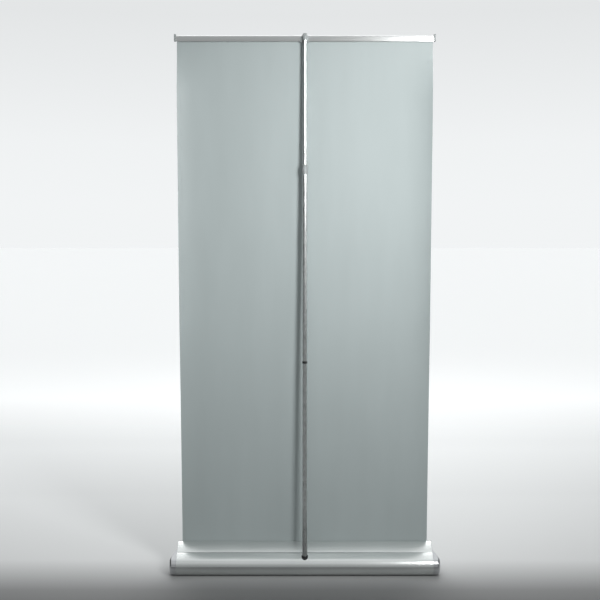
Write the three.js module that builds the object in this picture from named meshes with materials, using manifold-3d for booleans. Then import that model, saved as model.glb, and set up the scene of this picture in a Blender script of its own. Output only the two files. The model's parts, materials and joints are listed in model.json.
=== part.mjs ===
// Roll-up banner stand: a wide aluminium base that holds a spring roller, a grey-backed
// film, a three-section telescopic pole behind the film and a clamping rail on top.
// Millimetres. +X runs along the base, +Y is the printed side, -Y is the pole side,
// +Z is up, and z = 0 is the floor.

import * as THREE from 'three';
import { mergeVertices } from 'three/addons/utils/BufferGeometryUtils.js';
import Module from 'manifold-3d';

// ---------------------------------------------------------------- driving dimensions

// clearances
const SEAT_GAP = 0.3; // between pieces that touch
const RUN_GAP = 0.4; // radial gap of pieces that turn or slide in each other

// film
const FILM_WIDTH = 1000;
const FILM_THICKNESS = 0.4;

// base section: distances from the film plane, rearward positive, and heights
const BASE_MARGIN = 16.5; // extrusions past each edge of the film, without the end caps
const REAR_REACH = 97.6;
const FRONT_REACH = 110.4;
const FOOT_HEIGHT = 2.5; // underside of the extrusions
const SHELL_WALL = 2.2;
const REAR_ROUND_RADIUS = 39.3;
const REAR_SLOPE_DEG = 32.5; // lower rear slope, tangent to the round
const SEAM_DISTANCE = 52.5; // seam between the rear shell and the rear top cover
const SLOT_HEIGHT = 121; // upper edge of the film slot
const SLOT_HALF_WIDTH = 2.5;
const SLOT_LIP_DEPTH = 9;
const TOE_RADIUS = 9;
const FLOOR_SEAM_DISTANCE = -70; // seam between the rear and front shells, under the base
const TONGUE_DEPTH = 9;
const PORT_RADIUS = 4.8; // screw ports inside the extrusions
const PORT_OVERLAP = 0.6; // of a port and the wall that carries it
const SCREW_RADIUS = 1.9;
const SCREW_LENGTH = 18;
const SCREW_HEAD_RADIUS = 3.6;
const SCREW_HEAD_HEIGHT = 2.4;

// end caps and end plates
const CAP_WIDTH = 30.8;
const CAP_SKIRT = 2; // straight part next to the extrusions
const CAP_WALL = 2.4;
const CAP_ROUNDNESS = 6; // exponent of the dome, larger is squarer
const CAP_SLANT_HEIGHT = 84; // where the slanted top starts at the film plane
const CAP_SLANT_RISE = 0.352; // rise of that start per mm behind the film
const CAP_SLANT = 0.617; // growth of the cap's width per mm below that start
const PLATE_THICKNESS = 2.5;

// roller
const ROLLER_RADIUS = 18;
const ROLLER_WALL = 1.4;
const ROLLER_MARGIN = 3; // roller tube past each edge of the film
const ROLLER_HEIGHT = 50;
const WOUND_TURNS = 2;
const PLUG_DEPTH = 22;
const PLUG_FLANGE = 3;
const PLUG_FLANGE_RADIUS = 21;
const SHAFT_RADIUS = 5;
const SPRING_SHAFT_LENGTH = 260;
const SPRING_RADIUS = 9.5;
const SPRING_WIRE = 1.8;
const SPRING_PITCH = 18;
const SPRING_TURNS = 10;

// feet
const FOOT_RADIUS = 10;
const FOOT_INSET = 85; // from the end of the extrusions
const REAR_FOOT_DISTANCE = 56;
const FRONT_FOOT_DISTANCE = -88;

// pole: measured along its own axis from the underside of the foot plug
const POLE_LEAN_DEG = 1.52;
const POLE_FOOT_OFFSET = 14.4; // behind the centre of the rear round
const LOWER_TUBE_RADIUS = 9.5;
const TUBE_WALL = 1;
const TELESCOPE_GAP = 0.5; // between the upper tube and the bore of the middle tube
const FOOT_PLUG_FLANGE = 4;
const FOOT_PLUG_DEPTH = 25;
const JOINT_POSITION = 850;
const JOINT_RING_HEIGHT = 9;
const JOINT_RING_RISE = 0.4; // past the tubes
const SPIGOT_DEPTH = 60;
const LOCK_POSITION = 1593;
const LOCK_SLEEVE_HEIGHT = 10;
const LOCK_SLEEVE_WALL = 1.7;
const LOCK_NECK_WALL = 0.6;
const TWIST_RING_HEIGHT = 26;
const TWIST_RING_WALL = 1.3;
const TWIST_RIB_COUNT = 18;
const TWIST_RIB = 0.5;
const UPPER_TUBE_OVERLAP = 90; // hidden in the middle tube when fully raised
const SOCKET_WALL = 2.2;
const SOCKET_FLOOR = 3;
const SOCKET_COLLAR = 1; // collar past the socket's wall
const SOCKET_COLLAR_HEIGHT = 6; // above the slope, at the pole axis

// top rail: section measured from the film plane and from the rail's lower edge
const RAIL_BOTTOM = 2125;
const RAIL_MARGIN = 3; // rail extrusions past each edge of the film, without the rail caps
const RAIL_HEIGHT = 23;
const RAIL_HALF_DEPTH = 6.8;
const RAIL_WALL = 1.6;
const RAIL_FACE_HEIGHT = 19.5; // flat rear face of the rail
const BEAD_RADIUS = 2.3;
const BEAD_DISTANCE = 0.4;
const BEAD_SOCKET_WALL = 1.5;
const LIP_HEIGHT = 3.4;
const GRIP_THICKNESS = 1.2;
const FILM_TUCK = 13; // film held inside the jaws
const RAIL_CAP_WIDTH = 7;
const RAIL_CAP_OVERHANG = 2; // past the rail's front and rear
const RAIL_CAP_RISE = 6; // above the rail
const RAIL_CAP_SPIGOT = 9;
const RAIL_SCREW_RADIUS = 1.3;

// hook on top of the pole
const HOOK_WIDTH = 37;
const HOOK_THICKNESS = 6; // of the plate behind the rail
const HOOK_DROP = 4; // below the rail's lower edge
const HOOK_SHOULDER = 20; // top of the plate, above the rail's lower edge
const HOOK_HEAD_WIDTH = 16;
const HOOK_TOP = 30; // above the rail's lower edge
const HOOK_WALL = 2.2; // around the upper tube
const HOOK_BOSS_START = 3; // above the rail's lower edge

const TUBE_SIDES = 32;
const SMALL_SIDES = 18;

// ---------------------------------------------------------------- worked-out values

const rad = THREE.MathUtils.degToRad;
const FILM_Y = (REAR_REACH - FRONT_REACH) / 2; // centres the base on y = 0
const FILM_HALF = FILM_THICKNESS / 2;
const POLE_LEAN = rad(POLE_LEAN_DEG);
const WOUND_INNER = ROLLER_RADIUS + SEAT_GAP;
const WOUND_OUTER = WOUND_INNER + WOUND_TURNS * FILM_THICKNESS;
const ROLLER_DISTANCE = -(WOUND_OUTER + SEAT_GAP + FILM_HALF);
const BASE_LENGTH = FILM_WIDTH + 2 * BASE_MARGIN;
const RAIL_LENGTH = FILM_WIDTH + 2 * RAIL_MARGIN;
const ROLLER_LENGTH = FILM_WIDTH + 2 * ROLLER_MARGIN;
const HALF_BASE = BASE_LENGTH / 2;
const TUBE_BORE = LOWER_TUBE_RADIUS - TUBE_WALL;
const UPPER_TUBE_RADIUS = TUBE_BORE - TELESCOPE_GAP;

// the socket's lower rear corner rests in the rear round, and the pole stands in the socket
const SOCKET_OUTER = LOWER_TUBE_RADIUS + RUN_GAP + SOCKET_WALL;
const POLE_FOOT_DISTANCE = REAR_REACH - REAR_ROUND_RADIUS + POLE_FOOT_OFFSET;
const SOCKET_CORNER = POLE_FOOT_OFFSET + SOCKET_OUTER + SEAT_GAP;
const SOCKET_LOW = REAR_ROUND_RADIUS
  - Math.sqrt((REAR_ROUND_RADIUS - SHELL_WALL - SEAT_GAP) ** 2 - SOCKET_CORNER ** 2)
  + SOCKET_OUTER * Math.sin(POLE_LEAN);
const POLE_FOOT_Z = SOCKET_LOW + SOCKET_FLOOR + SEAT_GAP;

// ---------------------------------------------------------------- materials

function finish(color, roughness, metalness) {
  return new THREE.MeshStandardMaterial({ color, roughness, metalness });
}

const satinAluminium = finish(0xb9bdbb, 0.32, 0.9);
const railAluminium = finish(0xc4c8c8, 0.35, 0.9);
const chrome = finish(0xd8dbdc, 0.08, 1);
const greyPlastic = finish(0x9ea3a2, 0.45, 0);
const blackPlastic = finish(0x1c1e1f, 0.5, 0);
const rubber = finish(0x202122, 0.8, 0);
const steel = finish(0x9b9ea0, 0.35, 0.9);
const felt = finish(0x3a3d3d, 0.95, 0);
const filmBack = finish(0x9ba8a7, 0.6, 0);

// ---------------------------------------------------------------- solids

const wasm = await Module();
wasm.setup();

function signedVolume(geometry) {
  const position = geometry.getAttribute('position');
  const a = new THREE.Vector3();
  const b = new THREE.Vector3();
  const c = new THREE.Vector3();
  let volume = 0;
  for (let i = 0; i < geometry.index.count; i += 3) {
    a.fromBufferAttribute(position, geometry.index.getX(i));
    b.fromBufferAttribute(position, geometry.index.getX(i + 1));
    c.fromBufferAttribute(position, geometry.index.getX(i + 2));
    volume += a.dot(b.cross(c)) / 6;
  }
  return volume;
}

// one closed skin with shared vertices, no zero-area faces, and faces pointing out
function closed(source) {
  const bare = source.clone();
  bare.deleteAttribute('normal');
  bare.deleteAttribute('uv');
  const merged = mergeVertices(bare, 1e-4);
  const kept = [];
  for (let i = 0; i < merged.index.count; i += 3) {
    const corners = [0, 1, 2].map((k) => merged.index.getX(i + k));
    if (new Set(corners).size === 3) kept.push(...corners);
  }
  merged.setIndex(kept);
  if (signedVolume(merged) < 0) merged.setIndex(kept.reverse());
  merged.computeVertexNormals();
  return merged;
}

function toManifold(geometry) {
  const skin = closed(geometry);
  return new wasm.Manifold(new wasm.Mesh({
    numProp: 3,
    vertProperties: new Float32Array(skin.getAttribute('position').array),
    triVerts: new Uint32Array(skin.index.array),
  }));
}

function toGeometry(manifold) {
  const mesh = manifold.getMesh();
  const geometry = new THREE.BufferGeometry();
  geometry.setAttribute('position', new THREE.BufferAttribute(mesh.vertProperties, 3));
  geometry.setIndex(new THREE.BufferAttribute(mesh.triVerts, 1));
  return closed(geometry);
}

function join(first, ...others) {
  return toGeometry(others.reduce((sum, part) => sum.add(toManifold(part)), toManifold(first)));
}

function cut(first, ...tools) {
  return toGeometry(tools.reduce((rest, tool) => rest.subtract(toManifold(tool)), toManifold(first)));
}

function common(first, second) {
  return toGeometry(toManifold(first).intersect(toManifold(second)));
}

// outline pushed along +Z, centred on z = 0
function prism(outline, length) {
  const geometry = new THREE.ExtrudeGeometry(new THREE.Shape(outline), {
    depth: length,
    bevelEnabled: false,
    curveSegments: 12,
  });
  return closed(geometry.translate(0, 0, -length / 2));
}

// profile of [radius, height] pairs turned around +Z
function turned(profile, sides = TUBE_SIDES) {
  const points = profile.map(([radius, height]) => new THREE.Vector2(radius, height));
  return closed(new THREE.LatheGeometry(points, sides).rotateX(Math.PI / 2));
}

function rod(radius, low, high, sides = TUBE_SIDES) {
  return turned([[0, low], [radius, low], [radius, high], [0, high]], sides);
}

function pipe(outer, inner, low, high, sides = TUBE_SIDES) {
  return turned([[inner, low], [outer, low], [outer, high], [inner, high], [inner, low]], sides);
}

function block(width, depth, height) {
  return closed(new THREE.BoxGeometry(width, depth, height));
}

// rectangle with rounded corners, its outline running counter-clockwise
function roundedRectangle(left, right, low, high, radius) {
  const shape = new THREE.Shape();
  shape.absarc(right - radius, low + radius, radius, -Math.PI / 2, 0, false);
  shape.absarc(right - radius, high - radius, radius, 0, Math.PI / 2, false);
  shape.absarc(left + radius, high - radius, radius, Math.PI / 2, Math.PI, false);
  shape.absarc(left + radius, low + radius, radius, Math.PI, 1.5 * Math.PI, false);
  return shape;
}

function arcPoints(centre, radius, fromDeg, toDeg, steps) {
  return Array.from({ length: steps + 1 }, (unused, i) => {
    const angle = rad(THREE.MathUtils.lerp(fromDeg, toDeg, i / steps));
    return new THREE.Vector2(
      centre.x + radius * Math.cos(angle),
      centre.y + radius * Math.sin(angle),
    );
  });
}

// path moved sideways to its right by the given distance, with mitred corners
function beside(path, distance) {
  return path.map((point, i) => {
    const before = path[Math.max(i - 1, 0)];
    const after = path[Math.min(i + 1, path.length - 1)];
    const into = point.clone().sub(before);
    const out = after.clone().sub(point);
    if (into.lengthSq() === 0) into.copy(out);
    if (out.lengthSq() === 0) out.copy(into);
    into.normalize();
    out.normalize();
    const normalIn = new THREE.Vector2(into.y, -into.x);
    const normalOut = new THREE.Vector2(out.y, -out.x);
    const mitre = normalIn.clone().add(normalOut).normalize();
    return point.clone().addScaledVector(mitre, distance / mitre.dot(normalIn));
  });
}

// sheet of the given wall whose outer face is the path and whose inside is to its right
function sheetOutline(path, wall) {
  return [...path, ...beside(path, wall).reverse()];
}

const group = new THREE.Group();

// pieces whose section is drawn as (distance behind the film, height) and which run along X
function sectionFrame(height) {
  const frame = new THREE.Group();
  frame.quaternion.setFromRotationMatrix(new THREE.Matrix4().makeBasis(
    new THREE.Vector3(0, -1, 0),
    new THREE.Vector3(0, 0, 1),
    new THREE.Vector3(-1, 0, 0),
  ));
  frame.position.set(0, FILM_Y, height);
  group.add(frame);
  return frame;
}

function place(frame, name, geometry, material, x = 0, y = 0, z = 0) {
  const mesh = new THREE.Mesh(geometry, material);
  mesh.name = name;
  mesh.position.set(x, y, z);
  frame.add(mesh);
  return mesh;
}

// ---------------------------------------------------------------- base section

const roundCentre = new THREE.Vector2(REAR_REACH - REAR_ROUND_RADIUS, REAR_ROUND_RADIUS);
const roundTopDeg = 90 - REAR_SLOPE_DEG;
const roundBottomDeg = THREE.MathUtils.radToDeg(
  Math.asin((FOOT_HEIGHT - REAR_ROUND_RADIUS) / REAR_ROUND_RADIUS),
);
const rearRound = arcPoints(roundCentre, REAR_ROUND_RADIUS, roundTopDeg, roundBottomDeg, 14);
const rearSlope = Math.tan(rad(REAR_SLOPE_DEG));
const seam = new THREE.Vector2(
  SEAM_DISTANCE,
  rearRound[0].y + (rearRound[0].x - SEAM_DISTANCE) * rearSlope,
);
const slotRear = new THREE.Vector2(SLOT_HALF_WIDTH, SLOT_HEIGHT - 1);
const slotFront = new THREE.Vector2(-SLOT_HALF_WIDTH, SLOT_HEIGHT - 1);
const toeCentre = new THREE.Vector2(TOE_RADIUS - FRONT_REACH, FOOT_HEIGHT + TOE_RADIUS);
const toeRound = arcPoints(toeCentre, TOE_RADIUS, 270, 180, 5);
const toeTop = toeRound[toeRound.length - 1];
const frontCurve = new THREE.CubicBezierCurve(
  toeTop,
  new THREE.Vector2(toeTop.x, SLOT_HEIGHT * 0.5),
  new THREE.Vector2(toeTop.x * 0.5, SLOT_HEIGHT * 0.81),
  slotFront,
).getPoints(16).slice(1);

// inside of every path is to its right
const rearPath = [seam, ...rearRound, new THREE.Vector2(FLOOR_SEAM_DISTANCE, FOOT_HEIGHT)];
const floorSeam = new THREE.Vector2(FLOOR_SEAM_DISTANCE - SEAT_GAP, FOOT_HEIGHT);
const frontPath = [floorSeam, ...toeRound, ...frontCurve];
const slopeUp = seam.clone().sub(slotRear).normalize();
const coverPath = [slotRear, seam.clone().addScaledVector(slopeUp, -SEAT_GAP)];
const baseOutline = [slotRear, ...rearPath.slice(0, -1), ...frontPath.slice(1)];

const base = sectionFrame(0);

const PORT_DEPTH = SHELL_WALL + PORT_RADIUS - PORT_OVERLAP; // port axis under the outer face

function portAt(path, index) {
  return beside(path, PORT_DEPTH)[index];
}

const portPlaces = {
  rear: portAt(rearPath, 8),
  floor: new THREE.Vector2(12, FOOT_HEIGHT + PORT_DEPTH),
  front: portAt(frontPath, 8),
};
const portHole = SCREW_RADIUS + SEAT_GAP;

function port(centre) {
  return rod(PORT_RADIUS, -HALF_BASE, HALF_BASE, SMALL_SIDES).translate(centre.x, centre.y, 0);
}

function portBore(centre) {
  const reach = HALF_BASE + 1;
  return rod(portHole, -reach, reach, SMALL_SIDES).translate(centre.x, centre.y, 0);
}

// lower edge of a neighbour's tongue, one wall and one gap under the outer face
function tongue(from, to) {
  const run = [from, to];
  const top = beside(run, SHELL_WALL + SEAT_GAP);
  const bottom = beside(run, 2 * SHELL_WALL + SEAT_GAP);
  return prism([...top, ...bottom.reverse()], BASE_LENGTH);
}

// a web that ties a tongue to the wall it belongs to
function web(from, to) {
  const run = [from, to];
  const top = beside(run, SHELL_WALL * 0.5);
  const bottom = beside(run, 2 * SHELL_WALL + SEAT_GAP);
  return prism([...top, ...bottom.reverse()], BASE_LENGTH);
}

// pole axis in the base section: up and towards the film
const poleFoot = new THREE.Vector2(POLE_FOOT_DISTANCE, POLE_FOOT_Z);
const poleUp = new THREE.Vector2(-Math.sin(POLE_LEAN), Math.cos(POLE_LEAN));

// turns a piece made around +Z so that it stands on the pole axis in the base section
function onPoleAxis(geometry) {
  const matrix = new THREE.Matrix4().makeBasis(
    new THREE.Vector3(0, 0, 1),
    new THREE.Vector3(poleUp.y, -poleUp.x, 0),
    new THREE.Vector3(poleUp.x, poleUp.y, 0),
  );
  matrix.setPosition(poleFoot.x, poleFoot.y, 0);
  return geometry.applyMatrix4(matrix);
}

// clear way for the pole socket through the rear slope
function poleHole() {
  return onPoleAxis(rod(SOCKET_OUTER + SEAT_GAP, 20, 150));
}

// clear way for the film between the two slot lips
function slotRoom() {
  return block(2 * SLOT_HALF_WIDTH, 4 * SLOT_LIP_DEPTH, BASE_LENGTH + 2)
    .translate(0, SLOT_HEIGHT - SLOT_LIP_DEPTH, 0);
}

function makeRearShell() {
  const wall = prism(sheetOutline(rearPath, SHELL_WALL), BASE_LENGTH);
  const body = join(wall, port(portPlaces.rear), port(portPlaces.floor));
  return cut(body, portBore(portPlaces.rear), portBore(portPlaces.floor), poleHole());
}

function makeFrontShell() {
  const wall = prism(sheetOutline(frontPath, SHELL_WALL), BASE_LENGTH);
  const lip = prism([
    slotFront,
    new THREE.Vector2(-SLOT_HALF_WIDTH, SLOT_HEIGHT - SLOT_LIP_DEPTH),
    new THREE.Vector2(-SLOT_HALF_WIDTH - SHELL_WALL, SLOT_HEIGHT - SLOT_LIP_DEPTH),
    new THREE.Vector2(-SLOT_HALF_WIDTH - SHELL_WALL, slotFront.y - SHELL_WALL),
  ], BASE_LENGTH);
  const inner = floorSeam.clone().add(new THREE.Vector2(TONGUE_DEPTH, 0));
  const outer = floorSeam.clone().add(new THREE.Vector2(-TONGUE_DEPTH, 0));
  const body = join(
    wall,
    lip,
    tongue(inner, outer),
    web(floorSeam.clone().add(new THREE.Vector2(-SEAT_GAP, 0)), outer),
    port(portPlaces.front),
  );
  return cut(body, portBore(portPlaces.front), slotRoom());
}

function makeRearCover() {
  const wall = prism(sheetOutline(coverPath, SHELL_WALL), BASE_LENGTH);
  const lip = prism([
    slotRear,
    new THREE.Vector2(SLOT_HALF_WIDTH + SHELL_WALL, slotRear.y - SHELL_WALL),
    new THREE.Vector2(SLOT_HALF_WIDTH + SHELL_WALL, SLOT_HEIGHT - SLOT_LIP_DEPTH),
    new THREE.Vector2(SLOT_HALF_WIDTH, SLOT_HEIGHT - SLOT_LIP_DEPTH),
  ], BASE_LENGTH);
  const shellDown = rearRound[0].clone().sub(seam).normalize();
  const upper = seam.clone().addScaledVector(slopeUp, -TONGUE_DEPTH);
  const lower = seam.clone().addScaledVector(shellDown, TONGUE_DEPTH);
  const body = join(
    wall,
    lip,
    tongue(upper, lower),
    web(upper, seam.clone().addScaledVector(slopeUp, -2 * SEAT_GAP)),
  );
  return cut(body, slotRoom(), poleHole());
}

place(base, 'rear_shell', makeRearShell(), satinAluminium);
place(base, 'front_shell', makeFrontShell(), satinAluminium);
place(base, 'rear_top_cover', makeRearCover(), satinAluminium);

// felt strips that wipe the film in the slot
function makeFelt() {
  const thickness = SLOT_HALF_WIDTH - FILM_HALF - 2 * SEAT_GAP;
  return block(thickness, SLOT_LIP_DEPTH - 3, FILM_WIDTH + 8);
}

const feltDistance = (SLOT_HALF_WIDTH + FILM_HALF) / 2;
const feltHeight = SLOT_HEIGHT - 1 - SLOT_LIP_DEPTH / 2;
place(base, 'slot_felt_rear', makeFelt(), felt, feltDistance, feltHeight, 0);
place(base, 'slot_felt_front', makeFelt(), felt, -feltDistance, feltHeight, 0);

// ---------------------------------------------------------------- end caps and plates

const capCentre = new THREE.Vector2(0, 45);

// closed skin through rings of equal length, its first and last ring filled flat
function skinned(rings) {
  const positions = rings.flat().flatMap((point) => [point.x, point.y, point.z]);
  const count = rings[0].length;
  const index = [];
  for (let ring = 0; ring + 1 < rings.length; ring += 1) {
    for (let i = 0; i < count; i += 1) {
      const a = ring * count + i;
      const b = ring * count + ((i + 1) % count);
      index.push(a, b, b + count, a, b + count, a + count);
    }
  }
  const flat = rings[0].map((point) => new THREE.Vector2(point.x, point.y));
  const last = (rings.length - 1) * count;
  const lastFlat = rings[rings.length - 1].map((point) => new THREE.Vector2(point.x, point.y));
  THREE.ShapeUtils.triangulateShape(flat, []).forEach(([a, b, c]) => index.push(a, c, b));
  THREE.ShapeUtils.triangulateShape(lastFlat, []).forEach(([a, b, c]) => {
    index.push(last + a, last + b, last + c);
  });
  const geometry = new THREE.BufferGeometry();
  geometry.setAttribute('position', new THREE.Float32BufferAttribute(positions, 3));
  geometry.setIndex(index);
  return closed(geometry);
}

// the base outline moved inwards, running counter-clockwise
function insetOutline(inset) {
  const count = baseOutline.length;
  const ring = [baseOutline[count - 1], ...baseOutline, baseOutline[0]];
  return beside(ring, inset).slice(1, count + 1).reverse();
}

function shrunk(outline, scale) {
  return outline.map((point) => point.clone().sub(capCentre).multiplyScalar(scale).add(capCentre));
}

// dome over the base outline that grows towards local +Z, moved inwards by the given inset
function capDome(inset, start) {
  const outline = insetOutline(inset);
  const rings = [outline.map((point) => new THREE.Vector3(point.x, point.y, start))];
  [1, 0.985, 0.95, 0.9, 0.82, 0.7, 0.5].forEach((scale) => {
    const dome = (1 - scale ** CAP_ROUNDNESS) ** (1 / CAP_ROUNDNESS);
    const reach = CAP_SKIRT + (CAP_WIDTH - CAP_SKIRT - inset) * dome;
    rings.push(shrunk(outline, scale).map((point) => new THREE.Vector3(point.x, point.y, reach)));
  });
  return skinned(rings);
}

// everything under the cap's slanted top, moved inwards by the given inset
function underSlant(inset) {
  const size = 600;
  const normal = new THREE.Vector3(-CAP_SLANT * CAP_SLANT_RISE, CAP_SLANT, 1);
  const offset = (CAP_SKIRT + CAP_SLANT * CAP_SLANT_HEIGHT) / normal.length() - inset;
  normal.normalize();
  const turn = new THREE.Quaternion().setFromUnitVectors(new THREE.Vector3(0, 0, 1), normal);
  return block(size, size, size)
    .translate(0, 0, -size / 2)
    .applyQuaternion(turn)
    .translate(normal.x * offset, normal.y * offset, normal.z * offset);
}

// an end cap that grows towards local +Z from its seam at z = 0
function makeEndCap() {
  const skirt = prism(insetOutline(0), CAP_SKIRT).translate(0, 0, CAP_SKIRT / 2);
  const cavity = common(capDome(CAP_WALL, -1), underSlant(CAP_WALL));
  return cut(join(common(capDome(0, 0), underSlant(0)), skirt), cavity);
}

// an end plate that fills the mouth of the cap's cavity, from local z = 0
function makeEndPlate() {
  const inset = CAP_WALL + SEAT_GAP;
  const blank = prism(insetOutline(inset), PLATE_THICKNESS).translate(0, 0, PLATE_THICKNESS / 2);
  const reach = 2 * PLATE_THICKNESS;
  const holes = Object.values(portPlaces).map((centre) => (
    rod(portHole, -reach, reach, SMALL_SIDES).translate(centre.x, centre.y, 0)
  ));
  const shaftHole = rod(SHAFT_RADIUS + SEAT_GAP, -reach, reach, SMALL_SIDES)
    .translate(ROLLER_DISTANCE, ROLLER_HEIGHT, 0);
  return cut(common(blank, underSlant(inset)), ...holes, shaftHole);
}

function makePlateScrew() {
  const shank = SCREW_RADIUS;
  return turned([
    [0, -SCREW_LENGTH],
    [shank, -SCREW_LENGTH],
    [shank, 0],
    [SCREW_HEAD_RADIUS, 0],
    [SCREW_HEAD_RADIUS, SCREW_HEAD_HEIGHT * 0.6],
    [SCREW_HEAD_RADIUS * 0.75, SCREW_HEAD_HEIGHT],
    [0, SCREW_HEAD_HEIGHT],
  ], SMALL_SIDES);
}

// Local +Z of the section frame is -X, so the left side grows towards local +Z.
for (const [side, sign] of [['left', 1], ['right', -1]]) {
  const end = new THREE.Group();
  end.position.z = sign * HALF_BASE;
  base.add(end);
  const flip = (geometry) => (sign < 0 ? geometry.scale(1, 1, -1) : geometry);
  const plateFace = SEAT_GAP + PLATE_THICKNESS;
  place(end, `end_cap_${side}`, closed(flip(makeEndCap())), chrome, 0, 0, sign * SEAT_GAP);
  place(end, `end_plate_${side}`, closed(flip(makeEndPlate())), steel, 0, 0, sign * SEAT_GAP);
  Object.entries(portPlaces).forEach(([where, centre]) => {
    const screw = closed(flip(makePlateScrew()));
    const seat = sign * (plateFace + SEAT_GAP);
    place(end, `plate_screw_${where}_${side}`, screw, steel, centre.x, centre.y, seat);
  });
}

// ---------------------------------------------------------------- feet

function makeFoot() {
  const height = FOOT_HEIGHT - SEAT_GAP;
  return turned([
    [0, 0],
    [FOOT_RADIUS - 0.6, 0],
    [FOOT_RADIUS, 0.6],
    [FOOT_RADIUS, height],
    [0, height],
  ], 24);
}

const floorFrame = new THREE.Group();
group.add(floorFrame);
for (const [side, sign] of [['left', -1], ['right', 1]]) {
  const x = sign * (HALF_BASE - FOOT_INSET);
  place(floorFrame, `foot_rear_${side}`, makeFoot(), rubber, x, FILM_Y - REAR_FOOT_DISTANCE, 0);
  place(floorFrame, `foot_front_${side}`, makeFoot(), rubber, x, FILM_Y - FRONT_FOOT_DISTANCE, 0);
}

// ---------------------------------------------------------------- roller

const roller = new THREE.Group();
roller.position.set(ROLLER_DISTANCE, ROLLER_HEIGHT, 0);
base.add(roller);
const rollerBore = ROLLER_RADIUS - ROLLER_WALL;
const halfRoller = ROLLER_LENGTH / 2;

function makeRollerPlug() {
  const body = rollerBore - SEAT_GAP;
  const bore = SHAFT_RADIUS + RUN_GAP;
  return turned([
    [bore, -PLUG_DEPTH],
    [body, -PLUG_DEPTH],
    [body, SEAT_GAP],
    [PLUG_FLANGE_RADIUS, SEAT_GAP],
    [PLUG_FLANGE_RADIUS, SEAT_GAP + PLUG_FLANGE],
    [bore, SEAT_GAP + PLUG_FLANGE],
    [bore, -PLUG_DEPTH],
  ]);
}

place(
  roller,
  'roller_tube',
  pipe(ROLLER_RADIUS, rollerBore, -halfRoller, halfRoller, 40),
  satinAluminium,
);
place(
  roller,
  'film_roll',
  pipe(WOUND_OUTER, WOUND_INNER, -FILM_WIDTH / 2, FILM_WIDTH / 2, 40),
  filmBack,
);
place(roller, 'roller_plug_left', makeRollerPlug(), blackPlastic, 0, 0, halfRoller);
place(
  roller,
  'roller_plug_right',
  closed(makeRollerPlug().scale(1, 1, -1)),
  blackPlastic,
  0,
  0,
  -halfRoller,
);

// fixed shafts: a collar on the inside of the end plate and a journal in the plug
const plateInside = HALF_BASE + SEAT_GAP;
const shaftCollar = SHAFT_RADIUS + 3;

function makeShaft(inner) {
  const outer = plateInside + PLATE_THICKNESS;
  const collarFace = plateInside - SEAT_GAP;
  const collarInner = halfRoller + 2 * SEAT_GAP + PLUG_FLANGE + SEAT_GAP;
  return turned([
    [0, inner],
    [SHAFT_RADIUS, inner],
    [SHAFT_RADIUS, collarInner],
    [shaftCollar, collarInner],
    [shaftCollar, collarFace],
    [SHAFT_RADIUS, collarFace],
    [SHAFT_RADIUS, outer],
    [0, outer],
  ], 24);
}

const idleEnd = halfRoller - PLUG_DEPTH - 4;
place(roller, 'idle_shaft', makeShaft(idleEnd), steel);
const springEnd = halfRoller - SPRING_SHAFT_LENGTH;
place(roller, 'spring_shaft', closed(makeShaft(springEnd).scale(1, 1, -1)), steel);

const anchorThickness = 8;
place(
  roller,
  'spring_anchor',
  pipe(rollerBore - RUN_GAP, SHAFT_RADIUS + SEAT_GAP, 0, anchorThickness),
  blackPlastic,
  0,
  0,
  -springEnd - anchorThickness,
);

class SpringCurve extends THREE.Curve {
  getPoint(t, target = new THREE.Vector3()) {
    const angle = 2 * Math.PI * SPRING_TURNS * t;
    return target.set(
      SPRING_RADIUS * Math.cos(angle),
      SPRING_RADIUS * Math.sin(angle),
      -SPRING_PITCH * SPRING_TURNS * t,
    );
  }
}

function makeSpring() {
  const wire = new THREE.Shape(arcPoints(new THREE.Vector2(), SPRING_WIRE / 2, 0, 300, 5));
  return closed(new THREE.ExtrudeGeometry(wire, {
    steps: SPRING_TURNS * 12,
    bevelEnabled: false,
    extrudePath: new SpringCurve(),
  }));
}

// the spring starts at the right plug and runs inwards along the shaft
const springStart = -(halfRoller - PLUG_DEPTH - SEAT_GAP - SPRING_WIRE / 2);
place(
  roller,
  'torsion_spring',
  closed(makeSpring().scale(1, 1, -1)),
  steel,
  0,
  0,
  springStart,
);

// ---------------------------------------------------------------- film

const filmTop = RAIL_BOTTOM + FILM_TUCK;
const filmHeight = filmTop - ROLLER_HEIGHT;
place(
  base,
  'banner_film',
  block(FILM_THICKNESS, filmHeight, FILM_WIDTH),
  filmBack,
  0,
  ROLLER_HEIGHT + filmHeight / 2,
  0,
);

// ---------------------------------------------------------------- pole socket in the base

function makePoleSocket() {
  const bore = LOWER_TUBE_RADIUS + RUN_GAP;
  const slopeAngle = -rad(REAR_SLOPE_DEG);
  const alongSlope = new THREE.Vector2(Math.cos(slopeAngle), Math.sin(slopeAngle));
  const slopeNormal = new THREE.Vector2(-alongSlope.y, alongSlope.x);
  // where the pole axis meets the rear slope
  const reach = seam.clone().sub(poleFoot).dot(slopeNormal) / poleUp.dot(slopeNormal);
  const crossing = poleFoot.clone().addScaledVector(poleUp, reach);
  const collarTop = reach + SOCKET_COLLAR_HEIGHT;
  const collarRadius = SOCKET_OUTER + SOCKET_COLLAR;
  const cup = onPoleAxis(rod(SOCKET_OUTER, -SEAT_GAP - SOCKET_FLOOR, reach));
  const collar = onPoleAxis(turned([
    [0, reach - 2 * collarRadius],
    [collarRadius, reach - 2 * collarRadius],
    [collarRadius, collarTop - 1],
    [collarRadius - 0.8, collarTop],
    [0, collarTop],
  ]));
  const inShell = rod(200, -400, SEAT_GAP, 8)
    .rotateX(-Math.PI / 2)
    .rotateZ(slopeAngle)
    .translate(crossing.x, crossing.y, 0);
  return cut(join(cup, cut(collar, inShell)), onPoleAxis(rod(bore, -SEAT_GAP, 140)));
}

place(base, 'pole_socket', makePoleSocket(), blackPlastic);

// ---------------------------------------------------------------- pole

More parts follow.
